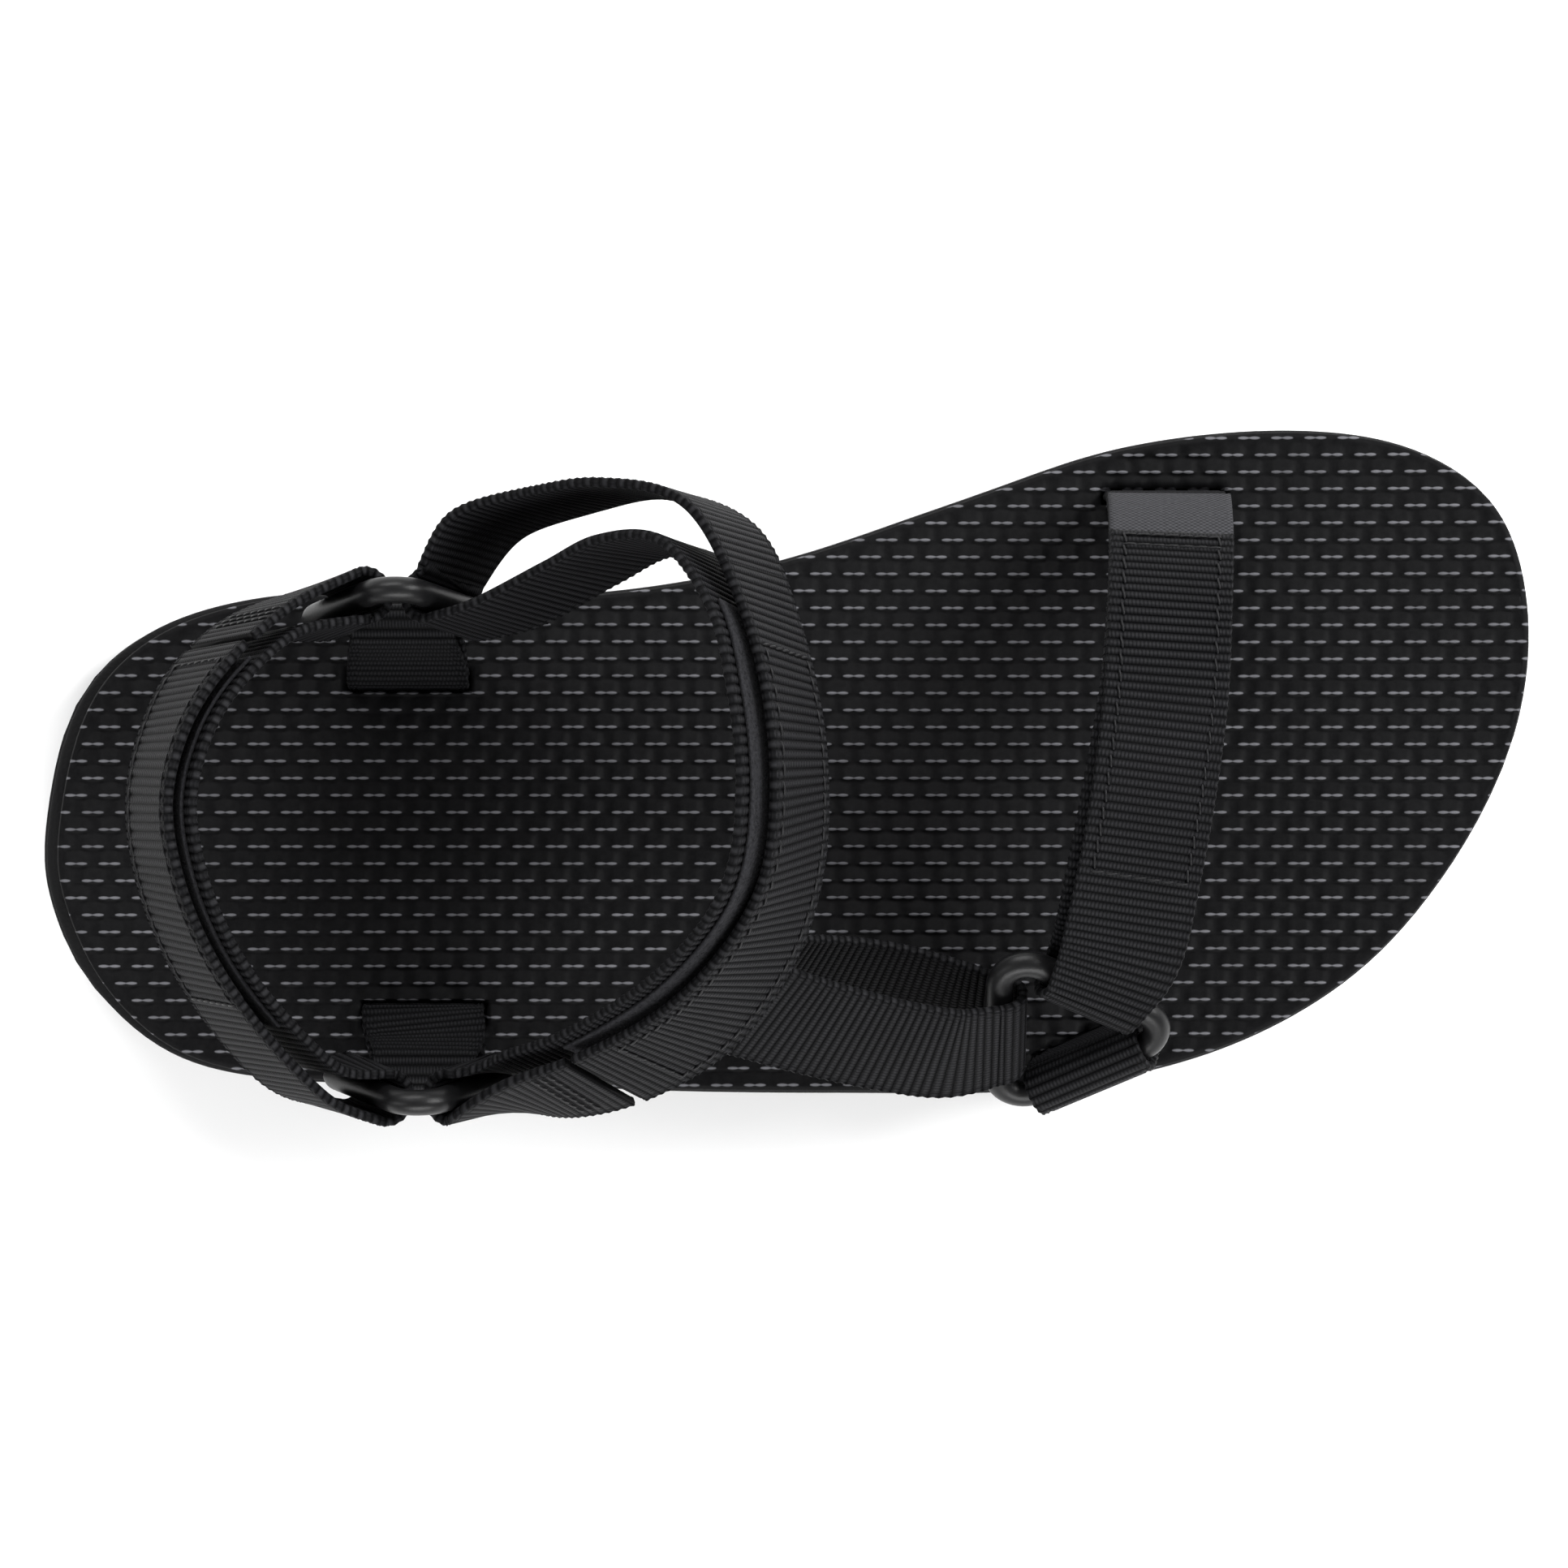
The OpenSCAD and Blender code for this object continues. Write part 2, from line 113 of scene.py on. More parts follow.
def mesh_object(name, points, faces, made_of, uv=None):
    """A smooth-shaded mesh object from points in metres."""
    mesh = bpy.data.meshes.new(name)
    mesh.from_pydata(np.asarray(points).tolist(), [], faces)
    if uv is not None:
        layer = mesh.uv_layers.new(name="UVMap")
        corner = np.empty(len(mesh.loops), dtype=np.int32)
        mesh.loops.foreach_get("vertex_index", corner)
        layer.data.foreach_set("uv", np.asarray(uv, dtype=np.float32)[corner].ravel())
    mesh.polygons.foreach_set("use_smooth", [True] * len(mesh.polygons))
    mesh.materials.append(made_of)
    thing = bpy.data.objects.new(name, mesh)
    bpy.context.scene.collection.objects.link(thing)
    return thing


def stands_for(thing, body, finish_slot, *nodes):
    """Puts a piece on its body in place of the CAD nodes, which it hides. Its finish slot is not
    used.
    """
    if nodes:
        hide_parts(*nodes)
    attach(thing, body)


CAMERA_HEIGHT = 1.05
CAMERA_X = -0.0005
FRAME_WIDTH = 0.2594
FOOTBED_LEVEL = 0.0225
WORLD_STRENGTH = 0.35
FLOOR_HALF = 4
camera_data = bpy.data.cameras.new("camera")
camera_data.angle = 2 * math.atan(FRAME_WIDTH / 2 / (CAMERA_HEIGHT - FOOTBED_LEVEL))
camera_data.clip_start = 0.01
camera = bpy.data.objects.new("camera", camera_data)
camera.location = (CAMERA_X, 0.0, CAMERA_HEIGHT)
bpy.context.scene.collection.objects.link(camera)
bpy.context.scene.camera = camera

bpy.context.scene.view_settings.view_transform = "Standard"
world = bpy.data.worlds.new("studio")
bpy.context.scene.world = world
world.use_nodes = True
backdrop = world.node_tree.nodes["Background"]
backdrop.inputs["Color"].default_value = linear("#ffffff")
backdrop.inputs["Strength"].default_value = WORLD_STRENGTH


def panel(name, place, size, power):
    """A soft light panel that faces the sandal."""
    data = bpy.data.lights.new(name, "AREA")
    data.shape = "RECTANGLE"
    data.size, data.size_y = size
    data.energy = power
    thing = bpy.data.objects.new(name, data)
    bpy.context.scene.collection.objects.link(thing)
    thing.location = place
    thing.rotation_euler = (-Vector(place)).to_track_quat("-Z", "Y").to_euler()


panel("light_toe", (1.1, 0.5, 0.9), (0.7, 0.9), 30)
panel("light_outer", (0.1, -1.2, 0.8), (1.3, 0.5), 22)
panel("light_inner", (-0.3, 1.2, 0.9), (1.2, 0.6), 18)
panel("light_heel", (-1.2, -0.2, 0.9), (0.6, 0.9), 5)

floor_paint, tree, shader = new_material("floor_paint", 0.9)
shader.inputs["Base Color"].default_value = linear("#fbfbfb")
corners = [(FLOOR_HALF * x, FLOOR_HALF * y, 0) for x, y in ((-1, -1), (1, -1), (1, 1), (-1, 1))]
mesh_object("floor", corners, [(0, 1, 2, 3)], floor_paint)

# ------------------------------------------------------------------------------------------
# Footbed: a 4 mm sheet of closed-cell EVA foam, moulded with a basket weave that runs right
# to its edge, and glued to the midsole. Slits in it let the webbing through.

WEAVE_LENGTH = 5.46 * MM
WEAVE_ROW = 2.82 * MM
WEAVE_X = 87.5 * MM
WEAVE_Y = 34.8 * MM
BRICK_HEIGHT = 0.42 * MM
CREST_HEIGHT = 0.2 * MM
# Places across a row, in shares of it: where a brick rises and falls, and half the crest.
BRICK_RISE = (-0.13, -0.02)
BRICK_FALL = (0.58, 0.74)
CREST_FLAT = 0.04
CREST_FOOT = 0.13
# Sampling of a layer's CAD node: points along it, how many rows its facets are eased over,
# and how far the outline laps over its own join for that.
LEVEL_POINTS = 500
LOOP_POINTS = 2400
LEVEL_REACH = 10
LOOP_REACH = 8
LOOP_LAP = 60


def ease(value, low, high):
    """0 below low, 1 above high, and smooth between them."""
    share = np.clip((value - low) / (high - low), 0, 1)
    return share * share * (3 - 2 * share)


def smoothed(values, reach):
    """Rows of values with their corners eased over about the given number of rows."""
    kernel = np.exp(-0.5 * (np.arange(-3 * reach, 3 * reach + 1) / reach) ** 2)
    kernel /= kernel.sum()
    wide = np.pad(values, [(3 * reach, 3 * reach), (0, 0)], "reflect", reflect_type="odd")
    return np.stack([np.convolve(c, kernel, "valid") for c in wide.T], 1)


class Layer:
    """Outline and levels of one layer of the sole, measured on its CAD node."""

    def __init__(self, node):
        mesh = frame["nodes"][node].data
        corners = np.array([v.co for v in mesh.vertices])
        surface = BVHTree.FromPolygons(corners, [list(p.vertices) for p in mesh.polygons])
        self.heel, self.toe = corners[corners[:, 0].argmin()], corners[corners[:, 0].argmax()]
        turn = np.linspace(0, math.pi, 400)[1:-1]
        low, high, levels = [self.heel[:2]], [], []
        for share in 0.5 - 0.5 * np.cos(turn):
            x, y, z = self.heel * (1 - share) + self.toe * share
            y += 0.006 * math.sin(math.pi * share)
            top = surface.ray_cast(Vector((x, y, 1)), Vector((0, 0, -1)))[0]
            bottom = surface.ray_cast(Vector((x, y, -1)), Vector((0, 0, 1)))[0]
            if top is None or bottom is None:
                continue
            levels.append((x, top.z, bottom.z))
            z = (top.z + bottom.z) / 2
            low.append(surface.ray_cast(Vector((x, -1, z)), Vector((0, 1, 0)))[0][:2])
            high.append(surface.ray_cast(Vector((x, 1, z)), Vector((0, -1, 0)))[0][:2])
        levels = np.array(levels)
        even = np.linspace(levels[0, 0], levels[-1, 0], LEVEL_POINTS)
        table = np.stack([np.interp(even, levels[:, 0], levels[:, k]) for k in (0, 1, 2)], 1)
        self.levels = smoothed(table, LEVEL_REACH)
        loop = np.array(low + [self.toe[:2]] + high[::-1])
        length = np.concatenate([[0], np.cumsum(np.linalg.norm(np.diff(loop, axis=0), axis=1))])
        even = np.linspace(0, length[-1], LOOP_POINTS)
        dense = np.stack([np.interp(even, length, loop[:, k]) for k in (0, 1)], 1)[:-1]
        around = np.concatenate([dense[-LOOP_LAP:], dense, dense[:LOOP_LAP]])
        self.loop = smoothed(around, LOOP_REACH)[LOOP_LAP:-LOOP_LAP]

    def level(self, x, side):
        """Height of the top (1) or the bottom (2) at x."""
        return np.interp(x, self.levels[:, 0], self.levels[:, side])

    def border(self, inset, x_lines):
        """Low and high edge, inset from the outline, at each x line, and outward sides."""
        ahead = np.roll(self.loop, -3, 0) - np.roll(self.loop, 3, 0)
        side = np.stack([ahead[:, 1], -ahead[:, 0]], 1)
        side /= np.linalg.norm(side, axis=1)[:, None]
        ring = self.loop - side * inset
        first, last = ring[:, 0].argmin(), ring[:, 0].argmax()
        ring, side = np.roll(ring, -first, 0), np.roll(side, -first, 0)
        last = (last - first) % len(ring)
        lower = np.concatenate([ring, side], 1)[: last + 1]
        upper = np.concatenate([ring, side], 1)[last:][::-1]
        inside = x_lines[(x_lines > ring[0, 0] + 3 * MM) & (x_lines < ring[last, 0] - 3 * MM)]
        ends = np.array([0.02, 0.1, 0.25, 0.5, 0.85, 1.3, 1.8, 2.4]) * MM
        xs = np.concatenate([ring[0, 0] + ends, inside, ring[last, 0] - ends[::-1]])
        edges = []
        for part in (lower, upper):
            order = np.argsort(part[:, 0])
            columns = [np.interp(xs, part[order, 0], part[order, k]) for k in (1, 2, 3)]
            edges.append(np.stack([xs, *columns], 1))
        return edges


def lattice(low, high, lines):
    """A flat grid on fixed lines between two edges. The low edge's points come first, then
    the high edge's, then the rest."""
    count = len(low)
    points = [low[:, :2], high[:, :2]]
    index = np.empty((count, len(lines)), int)
    used = 2 * count
    for i in range(count):
        index[i] = np.where(lines < (low[i, 1] + high[i, 1]) / 2, i, count + i)
        if 0 < i < count - 1:
            gap = 0.08 * MM
            inside = np.flatnonzero((lines > low[i, 1] + gap) & (lines < high[i, 1] - gap))
            index[i, inside] = used + np.arange(len(inside))
            used += len(inside)
            points.append(np.stack([np.full(len(inside), low[i, 0]), lines[inside]], 1))
    quads = np.stack([index[:-1, :-1], index[1:, :-1], index[1:, 1:], index[:-1, 1:]], -1)
    faces = []
    for quad in quads.reshape(-1, 4).tolist():
        corners = [v for k, v in enumerate(quad) if v != quad[k - 1]]
        if len(corners) > 2:
            faces.append(corners)
    return np.concatenate(points), faces


def from_edge(points, edge):
    """Distance of each flat point from the nearest point of the edge."""
    parts = np.array_split(points, max(1, len(points) // 4000))
    return np.concatenate(
        [np.sqrt(((p[:, None] - edge[None]) ** 2).sum(2).min(1)) for p in parts]
    )


def sole_piece(name, node, made_of, x_lines, top_lines, bottom_lines, wall, top=None, under=None):
    """A closed layer of the sole. wall lists (outward shift, share of the way down, lift)
    from the edge of the top face to the edge of the bottom face."""
    layer = Layer(node)
    low, high = layer.border(-wall[0][0], x_lines)
    count = len(low)
    flat, faces = lattice(low, high, top_lines)
    edge = np.concatenate([low, high[::-1]])
    order = list(range(count)) + list(range(2 * count - 1, count - 1, -1))
    z = layer.level(flat[:, 0], 1) + wall[0][2]
    if top:
        z += top(flat[:, 0], flat[:, 1]) * ease(from_edge(flat, edge[:, :2]), 0, 1.5 * MM)
    points = [np.column_stack([flat, z])]
    used = len(flat)
    last = order
    steps = len(order)
    for shift, share, lift in wall[1:]:
        ring = edge[:, :2] + edge[:, 2:] * (shift - wall[0][0])
        z = layer.level(ring[:, 0], 1) * (1 - share) + layer.level(ring[:, 0], 2) * share
        points.append(np.column_stack([ring, z + lift]))
        now = list(range(used, used + steps))
        used += steps
        for k in range(steps):
            faces.append([last[k], now[k], now[(k + 1) % steps], last[(k + 1) % steps]])
        last = now
    shift = edge[:, 2:] * (wall[-1][0] - wall[0][0])
    low[:, :2] += shift[:count]
    high[:, :2] += shift[count:][::-1]
    flat, below = lattice(low, high, bottom_lines)
    z = layer.level(flat[:, 0], 2) + wall[-1][2]
    if under:
        z += under(flat[:, 0], flat[:, 1])
    points.append(np.column_stack([flat, z])[2 * count :])
    name_of = last[:count] + last[count:][::-1] + list(range(used, used + len(flat)))
    faces += [[name_of[v] for v in face[::-1]] for face in below]
    return mesh_object(name, np.concatenate(points), faces, made_of)


def weave_relief(x, y):
    """Raised bricks in half-drop rows, each with a fine crest along its outer side."""
    row_number = np.floor((y - WEAVE_Y) / WEAVE_ROW + 0.15)
    across = (y - WEAVE_Y) / WEAVE_ROW - row_number
    along = (x - WEAVE_X) / WEAVE_LENGTH + 0.5 * np.mod(row_number, 2)
    ends = 1 - ease(np.abs(along - np.round(along)), 0.3, 0.38)
    brick = ends * ease(across, *BRICK_RISE) * (1 - ease(across, *BRICK_FALL))
    crest = ends * (1 - ease(np.abs(across), CREST_FLAT, CREST_FOOT))
    return BRICK_HEIGHT * (brick - 1) + CREST_HEIGHT * crest


footbed_foam, tree, shader = new_material("footbed_eva_foam", 0.6, 0.06)
# Moulded EVA has a dull porous skin; a pale painted highlight lies along the crest of each brick of
# the weave.
spot = place_in(tree)
split = add(tree, "ShaderNodeSeparateXYZ", _0=spot).node
rows_up = maths(tree, "MULTIPLY_ADD", split.outputs["Y"], 1 / WEAVE_ROW, 0.5 - WEAVE_Y / WEAVE_ROW)
row_number = maths(tree, "FLOOR", rows_up)
across = maths(tree, "ABSOLUTE", maths(tree, "SUBTRACT", maths(tree, "FRACT", rows_up), 0.5))
bricks = maths(
    tree, "MULTIPLY_ADD", split.outputs["X"], 1 / WEAVE_LENGTH, 0.5 - WEAVE_X / WEAVE_LENGTH
)
bricks = maths(tree, "MULTIPLY_ADD", maths(tree, "FLOORED_MODULO", row_number, 2.0), 0.5, bricks)
along = maths(tree, "ABSOLUTE", maths(tree, "SUBTRACT", maths(tree, "FRACT", bricks), 0.5))
# two lobes to the painted highlight on a crest, thinner in its middle
lobe = maths(tree, "COSINE", maths(tree, "MULTIPLY", maths(tree, "SUBTRACT", along, 0.17), 9.0))
line = maths(tree, "SUBTRACT", maths(tree, "MULTIPLY_ADD", lobe, 0.06, 0.055), across)
line = maths(tree, "MULTIPLY", line, 14.0, clamp=True)
stop = maths(tree, "MULTIPLY", maths(tree, "SUBTRACT", 0.345, along), 25.0, clamp=True)
# noise that breaks the painted crest highlight into patches
highlight_patches = add(tree, "ShaderNodeTexNoise", Vector=spot, Scale=70.0, Detail=3.0)
highlight_patches = maths(tree, "MULTIPLY_ADD", highlight_patches, 1.1, 0.35, clamp=True)
crest = maths(tree, "MULTIPLY", maths(tree, "MULTIPLY", line, stop), highlight_patches)
pores = add(tree, "ShaderNodeTexNoise", Vector=spot, Scale=900.0, Detail=2.0)
skin = mix(tree, pores, linear("#050506"), linear("#121213"))
# each crest gets a pale grey painted highlight over the dark skin
finish(tree, shader, mix(tree, crest, skin, linear("#626266")), pores, 0.1 * MM, 0.5)

x_lines = np.arange(-130, 130, 0.546) * MM
line_places = np.array([-CREST_FOOT, -CREST_FLAT, CREST_FLAT, CREST_FOOT, BRICK_FALL[0], 0.72])
line_places = line_places * WEAVE_ROW
y_lines = (WEAVE_Y + np.arange(-36, 12)[:, None] * WEAVE_ROW + line_places).ravel()
few_lines = np.array([-70, -40, -20, 0, 20, 40, 70]) * MM
footbed = sole_piece(
    "footbed_sheet",
    "footbed",
    footbed_foam,
    x_lines,
    y_lines,
    few_lines,
    [(-0.9 * MM, 0, 0), (-0.3 * MM, 0, -0.2 * MM), (0, 0, -0.8 * MM), (0.05 * MM, 0.6, 0),
     (0, 1, 0.2 * MM), (-0.4 * MM, 1, 0)],
    top=weave_relief,
)
stands_for(footbed, "sole", "footbed_foam", "footbed")

# ------------------------------------------------------------------------------------------
# Midsole: one moulded EVA foam wedge, thicker under the heel, whose side wall flares out a
# little towards the ground.

midsole_foam, tree, shader = new_material("midsole_eva_foam", 0.7, 0.12)
# The mould leaves a faint pebbled skin on the side wall.
spot = place_in(tree)
pebbles = add(tree, "ShaderNodeTexVoronoi", Vector=spot, Scale=1400.0)
cloud = add(tree, "ShaderNodeTexNoise", Vector=spot, Scale=60.0, Detail=4.0)
finish(tree, shader, mix(tree, cloud, linear("#0a0a0b"), linear("#171718")), pebbles, 0.1 * MM)
midsole = sole_piece(
    "midsole_wedge",
    "midsole",
    midsole_foam,
    np.arange(-130, 130, 2) * MM,
    few_lines,
    few_lines,
    [(-0.5 * MM, 0, 0), (0, 0, -0.3 * MM), (0.25 * MM, 0.15, 0), (0.1 * MM, 0.45, 0),
     (0.2 * MM, 0.75, 0), (0.5 * MM, 0.95, 0), (0.3 * MM, 1, 0)],
)
stands_for(midsole, "sole", "midsole_foam", "midsole")

# ------------------------------------------------------------------------------------------
# Outsole: a moulded rubber sheet with a tread of rounded blocks, glued under the midsole.
# Its pattern is a plain one, with grooves across and along the sole.

TREAD_PITCH = 12 * MM
TREAD_X = -112 * MM
TREAD_ROW = 24 * MM
TREAD_Y = -36 * MM
GROOVE = 3 * MM
GROOVE_DEPTH = 2 * MM


def tread_relief(x, y):
    """Grooves across and along the sole, with rounded edges."""
    cross = np.mod(x - TREAD_X, TREAD_PITCH)
    long = np.mod(y - TREAD_Y, TREAD_ROW)
    deep = np.maximum(np.minimum(cross, GROOVE - cross), np.minimum(long, GROOVE - long))
    return GROOVE_DEPTH * ease(deep, 0, 0.9 * MM)


outsole_rubber, tree, shader = new_material("outsole_rubber", 0.55, 0.2)
# Tyre-like rubber with a grey bloom and a fine moulded grain.
spot = place_in(tree)
grain = add(tree, "ShaderNodeTexNoise", Vector=spot, Scale=1200.0, Detail=3.0)
bloom = add(tree, "ShaderNodeTexNoise", Vector=spot, Scale=45.0, Detail=5.0)
finish(tree, shader, mix(tree, bloom, linear("#0b0b0c"), linear("#1a1a1b")), grain, 0.1 * MM)
groove_lines = np.array([0, 0.25, 0.5, 0.75, 0.95, 2.05, 2.25, 2.5, 2.75, 3]) * MM
across_lines = np.append(groove_lines, [5 * MM, 8 * MM, 10.5 * MM])
long_lines = np.append(groove_lines, [8 * MM, 13 * MM, 19 * MM])
outsole = sole_piece(
    "outsole_tread",
    "outsole",
    outsole_rubber,
    (TREAD_X + np.arange(-2, 22)[:, None] * TREAD_PITCH + across_lines).ravel(),
    few_lines,
    (TREAD_Y + np.arange(-2, 6)[:, None] * TREAD_ROW + long_lines).ravel(),
    [(-0.5 * MM, 0, 0), (-0.05 * MM, 0, -0.15 * MM), (0, 0, -0.8 * MM), (0, 0.75, 0),
     (-0.25 * MM, 0.93, 0), (-0.9 * MM, 1, 0)],
    under=tread_relief,
)
stands_for(outsole, "sole", "outsole_rubber", "outsole")

# ------------------------------------------------------------------------------------------
# Rings: three moulded nylon triangles that the webbing folds round. Each has rounded
# corners, a slightly flattened rod and the fine line where the halves of its mould met.

ROD = 2.2 * MM
CORNER = 4.5 * MM

ring_nylon, tree, shader = new_material("ring_moulded_nylon", 0.4, 0.25)
# Glass-filled nylon: smooth and half glossy, with faint flow marks.
spot = place_in(tree)
flow = add(tree, "ShaderNodeTexNoise", Vector=spot, Scale=160.0, Detail=3.0, Distortion=1.5)
fleck = add(tree, "ShaderNodeTexNoise", Vector=spot, Scale=2500.0, Detail=1.0)
finish(tree, shader, mix(tree, flow, linear("#070708"), linear("#111112")), fleck, 0.02 * MM)


def unit(v):
    """Vectors of length one."""
    return v / np.linalg.norm(v, axis=-1, keepdims=True)


def joint_place(name):
    """A point on the joint's axis."""
    return next(np.array(j["pos_m"]) for j in frame["joints"] if j["name"] == name)


class Ring:
    """Centre, outward normal and bars of a ring. Bar 0 is the one it rocks on, and bars 1
    and 2 follow anticlockwise as seen from outside."""

    def __init__(self, node, outward):
        corners = np.array([v.co for v in frame["nodes"][node].data.vertices])
        self.centre = corners.mean(0)
        normal = np.linalg.svd(corners - self.centre)[2][2]
        self.normal = normal * np.sign(normal @ np.array(outward))
        rock = joint_place(node + "_rock") - self.centre
        rock -= self.normal * (rock @ self.normal)
        self.radius = np.linalg.norm(rock)
        ahead = np.cross(self.normal, rock / self.radius)
        self.ways = [rock / self.radius * math.cos(a) + ahead * math.sin(a)
                     for a in np.radians([0, 120, 240])]

    def bar(self, number):
        """The middle of a bar and the direction from the ring's centre to it."""
        return self.centre + self.ways[number] * self.radius, self.ways[number]

    def build(self, name):
        """The ring's mesh: the rod's section swept round a triangle with round corners."""
        path, outs = [], []
        half = math.sqrt(3) * (self.radius - CORNER)
        for way in self.ways:
            ahead = np.cross(self.normal, way)
            bar = self.centre + way * self.radius
            for share in np.linspace(-1, 1, 9):
                path.append(bar + ahead * half * share)
                outs.append(way)
            turn_at = bar + ahead * half - way * CORNER
            for angle in np.radians(np.linspace(0, 120, 16)[1:-1]):
                out = way * math.cos(angle) + ahead * math.sin(angle)
                path.append(turn_at + out * CORNER)
                outs.append(out)
        path, outs = np.array(path), np.array(outs)
        angle = np.radians(np.arange(0, 360, 15))
        seam = 1 + 0.03 * (np.abs(np.sin(angle)) < 0.05)
        section = ROD * seam * np.array([np.cos(angle), 0.94 * np.sin(angle)])
        points = path[:, None] + outs[:, None] * section[0][None, :, None]
        points = points + self.normal * section[1][None, :, None]
        rows, sides = len(path), len(angle)
        cell = np.arange(rows * sides).reshape(rows, sides)
        on, up = np.roll(cell, -1, 0), np.roll(cell, -1, 1)
        faces = np.stack([cell, on, np.roll(on, -1, 1), up], -1).reshape(-1, 4)
        made = mesh_object(name, points.reshape(-1, 3), faces.tolist(), ring_nylon)
        stands_for(made, name, "ring_plastic", name)


front_ring = Ring("front_ring", (0, -1, 1))
medial_ring = Ring("medial_ring", (0, 1, 0))
lateral_ring = Ring("lateral_ring", (0, -1, 0))
front_ring.build("front_ring")
medial_ring.build("medial_ring")
lateral_ring.build("lateral_ring")

# ------------------------------------------------------------------------------------------
# Toe strap: 20 mm polyester webbing that rises from a slit beside the big toe, crosses the
# toes, folds round the front ring and comes back over itself. Loop tape is sewn on the
# lower layer and hook tape under the end, which has a bare grey tab to pull.

WEB_T = 1.6 * MM
RIB = 1.4 * MM
STEP = RIB / 4
TAPE_HALF = 8 * MM
TAPE_T = 0.7 * MM
# The routes and what lies on them are in mm: half widths of the webbing, full and at a
# ring's bar, spaces beside closed and sewn layers, and the rolls round a bar.
HALF = 10.0
PINCH = 8.5
CLOSED = 1.03
SEWN = 0.1
FOLD_R = 3.1
ANCHOR_R = 2.6
STITCH_LINE = 7.6
SEAM_HALF = 6.9
TACK_HALF = 7.5
STITCH_PITCH = 2.8
SEAM_PITCH = 2.3
# How thick a strap is where it goes down through its slit, with room to spare.
ONE_LAYER = 2 * 0.8 + 0.6
TWO_LAYERS = 2 * 1.6 + 0.4


def row(place, normal, spaces, half=HALF):
    """A row of a strap's route: place, outward normal, spaces to the inner and the outer
    layer, sideways shift of the outer layer, half width."""
    return [*place, *normal, *spaces, half]


def bar_row(ring, bar, space=FOLD_R):
    """The row of a route where the strap folds round a ring's bar."""
    return row(ring.bar(bar)[0] / MM, ring.normal, (space, space, 0), PINCH)


def on_route(rows, s):
    """Rows of a smooth curve through the route's rows."""
    i = np.minimum(s.astype(int), len(rows) - 2)
    t = (s - i)[:, None]
    a, b, c, d = [rows[np.clip(i + k, 0, len(rows) - 1)] for k in (-1, 0, 1, 2)]
    return 0.5 * (2 * b + (c - a) * t + (2 * a - 5 * b + 4 * c - d) * t**2
                  + (3 * b - a - 3 * c + d) * t**3)


def walk(rows, start, stop, layer):
    """Frames along one layer: place, thickness direction, sideways, half width."""
    rows = np.array(rows)
    s = np.linspace(start, stop, int(abs(stop - start) * 14) + 3)
    at = on_route(rows, s)
    ahead = on_route(rows, np.minimum(s + 0.02, len(rows) - 1))
    behind = on_route(rows, np.maximum(s - 0.02, 0))
    along = unit(ahead[:, :3] - behind[:, :3])
    side = unit(np.cross(at[:, 3:6], along))
    normal = np.cross(along, side)
    if layer == "outer":
        place = at[:, :3] + normal * at[:, 7:8] + side * at[:, 8:9]
        return s, np.hstack([place * MM, normal, side, at[:, 9:] * MM])
    place = at[:, :3] - normal * at[:, 6:7]
    return s, np.hstack([place * MM, -normal, side, at[:, 9:] * MM])


def fold(ring, bar, start, stop, away=None, out=None, radius=FOLD_R, half=PINCH):
    """Frames of webbing rolled round a bar, from one angle to another. The strap leaves the
    bar in the direction away, and its outer layer is on the side out."""
    middle, way = ring.bar(bar)
    away = way if away is None else away
    out = ring.normal if out is None else out
    angle = np.linspace(start, stop, 31)
    turn = np.radians(angle)[:, None]
    spoke = -away * np.cos(turn) + out * np.sin(turn)
    side = unit(np.cross(out, away)) * np.sign(stop - start)
    count = len(angle)
    place = middle + spoke * radius * MM
    halves = np.full((count, 1), half * MM)
    return angle, np.hstack([place, spoke, np.tile(side, (count, 1)), halves])


class Run:
    """One length of webbing, sampled four times a rib from end to end."""

    def __init__(self, **parts):
        frames = np.concatenate([f for s, f in parts.values()])
        middle = frames[:, :3] + frames[:, 3:6] * WEB_T / 2
        length = np.concatenate([[0], np.cumsum(np.linalg.norm(np.diff(middle, axis=0), axis=1))])
        self.marks, used = {}, 0
        for name, (s, f) in parts.items():
            self.marks[name] = (s, length[used : used + len(s)])
            used += len(s)
        keep = np.concatenate([[True], np.diff(length) > 1e-7])
        self.v = np.arange(0, length[-1], STEP)
        table = np.hstack([middle, frames[:, 3:]])[keep]
        table = [np.interp(self.v, length[keep], column) for column in table.T]
        table = smoothed(np.stack(table, 1), 2)
        self.middle, self.half = table[:, :3], table[:, 9]
        self.along = unit(np.gradient(self.middle, axis=0))
        across = table[:, 6:9]
        self.side = unit(across - self.along * (across * self.along).sum(1)[:, None])
        self.out = np.cross(self.along, self.side)

    def place_of(self, part, s):
        """How far along the webbing a place on one part's route is, in metres."""
        marks, lengths = self.marks[part]
        order = np.argsort(marks)
        return float(np.interp(s, marks[order], lengths[order]))

    def cut(self, part, s):
        """Number of the section nearest a place on one part's route."""
        return int(round(self.place_of(part, s) / STEP))

    def at(self, v, u, height):
        """Point, direction along, sideways and outwards at v along, u across and a height."""
        axes = []
        for table in (self.middle, self.along, self.side, self.out):
            axes.append(np.stack([np.interp(v, self.v, table[:, k]) for k in range(3)], 1))
        place = axes[0] + axes[2] * u[:, None] + axes[3] * height[:, None]
        return place, axes[1:]


def tube_mesh(name, sections, made_of, uv):
    """A closed mesh through equal sections, with flat ends."""
    rows, sides = sections.shape[:2]
    cell = np.arange(rows * sides).reshape(rows, sides)
    here, there = cell[:-1], cell[1:]
    quads = np.stack([here, there, np.roll(there, -1, 1), np.roll(here, -1, 1)], -1)
    faces = quads.reshape(-1, 4).tolist()
    faces += [cell[0].tolist(), cell[-1][::-1].tolist()]
    return mesh_object(name, sections.reshape(-1, 3), faces, made_of, uv.reshape(-1, 2))


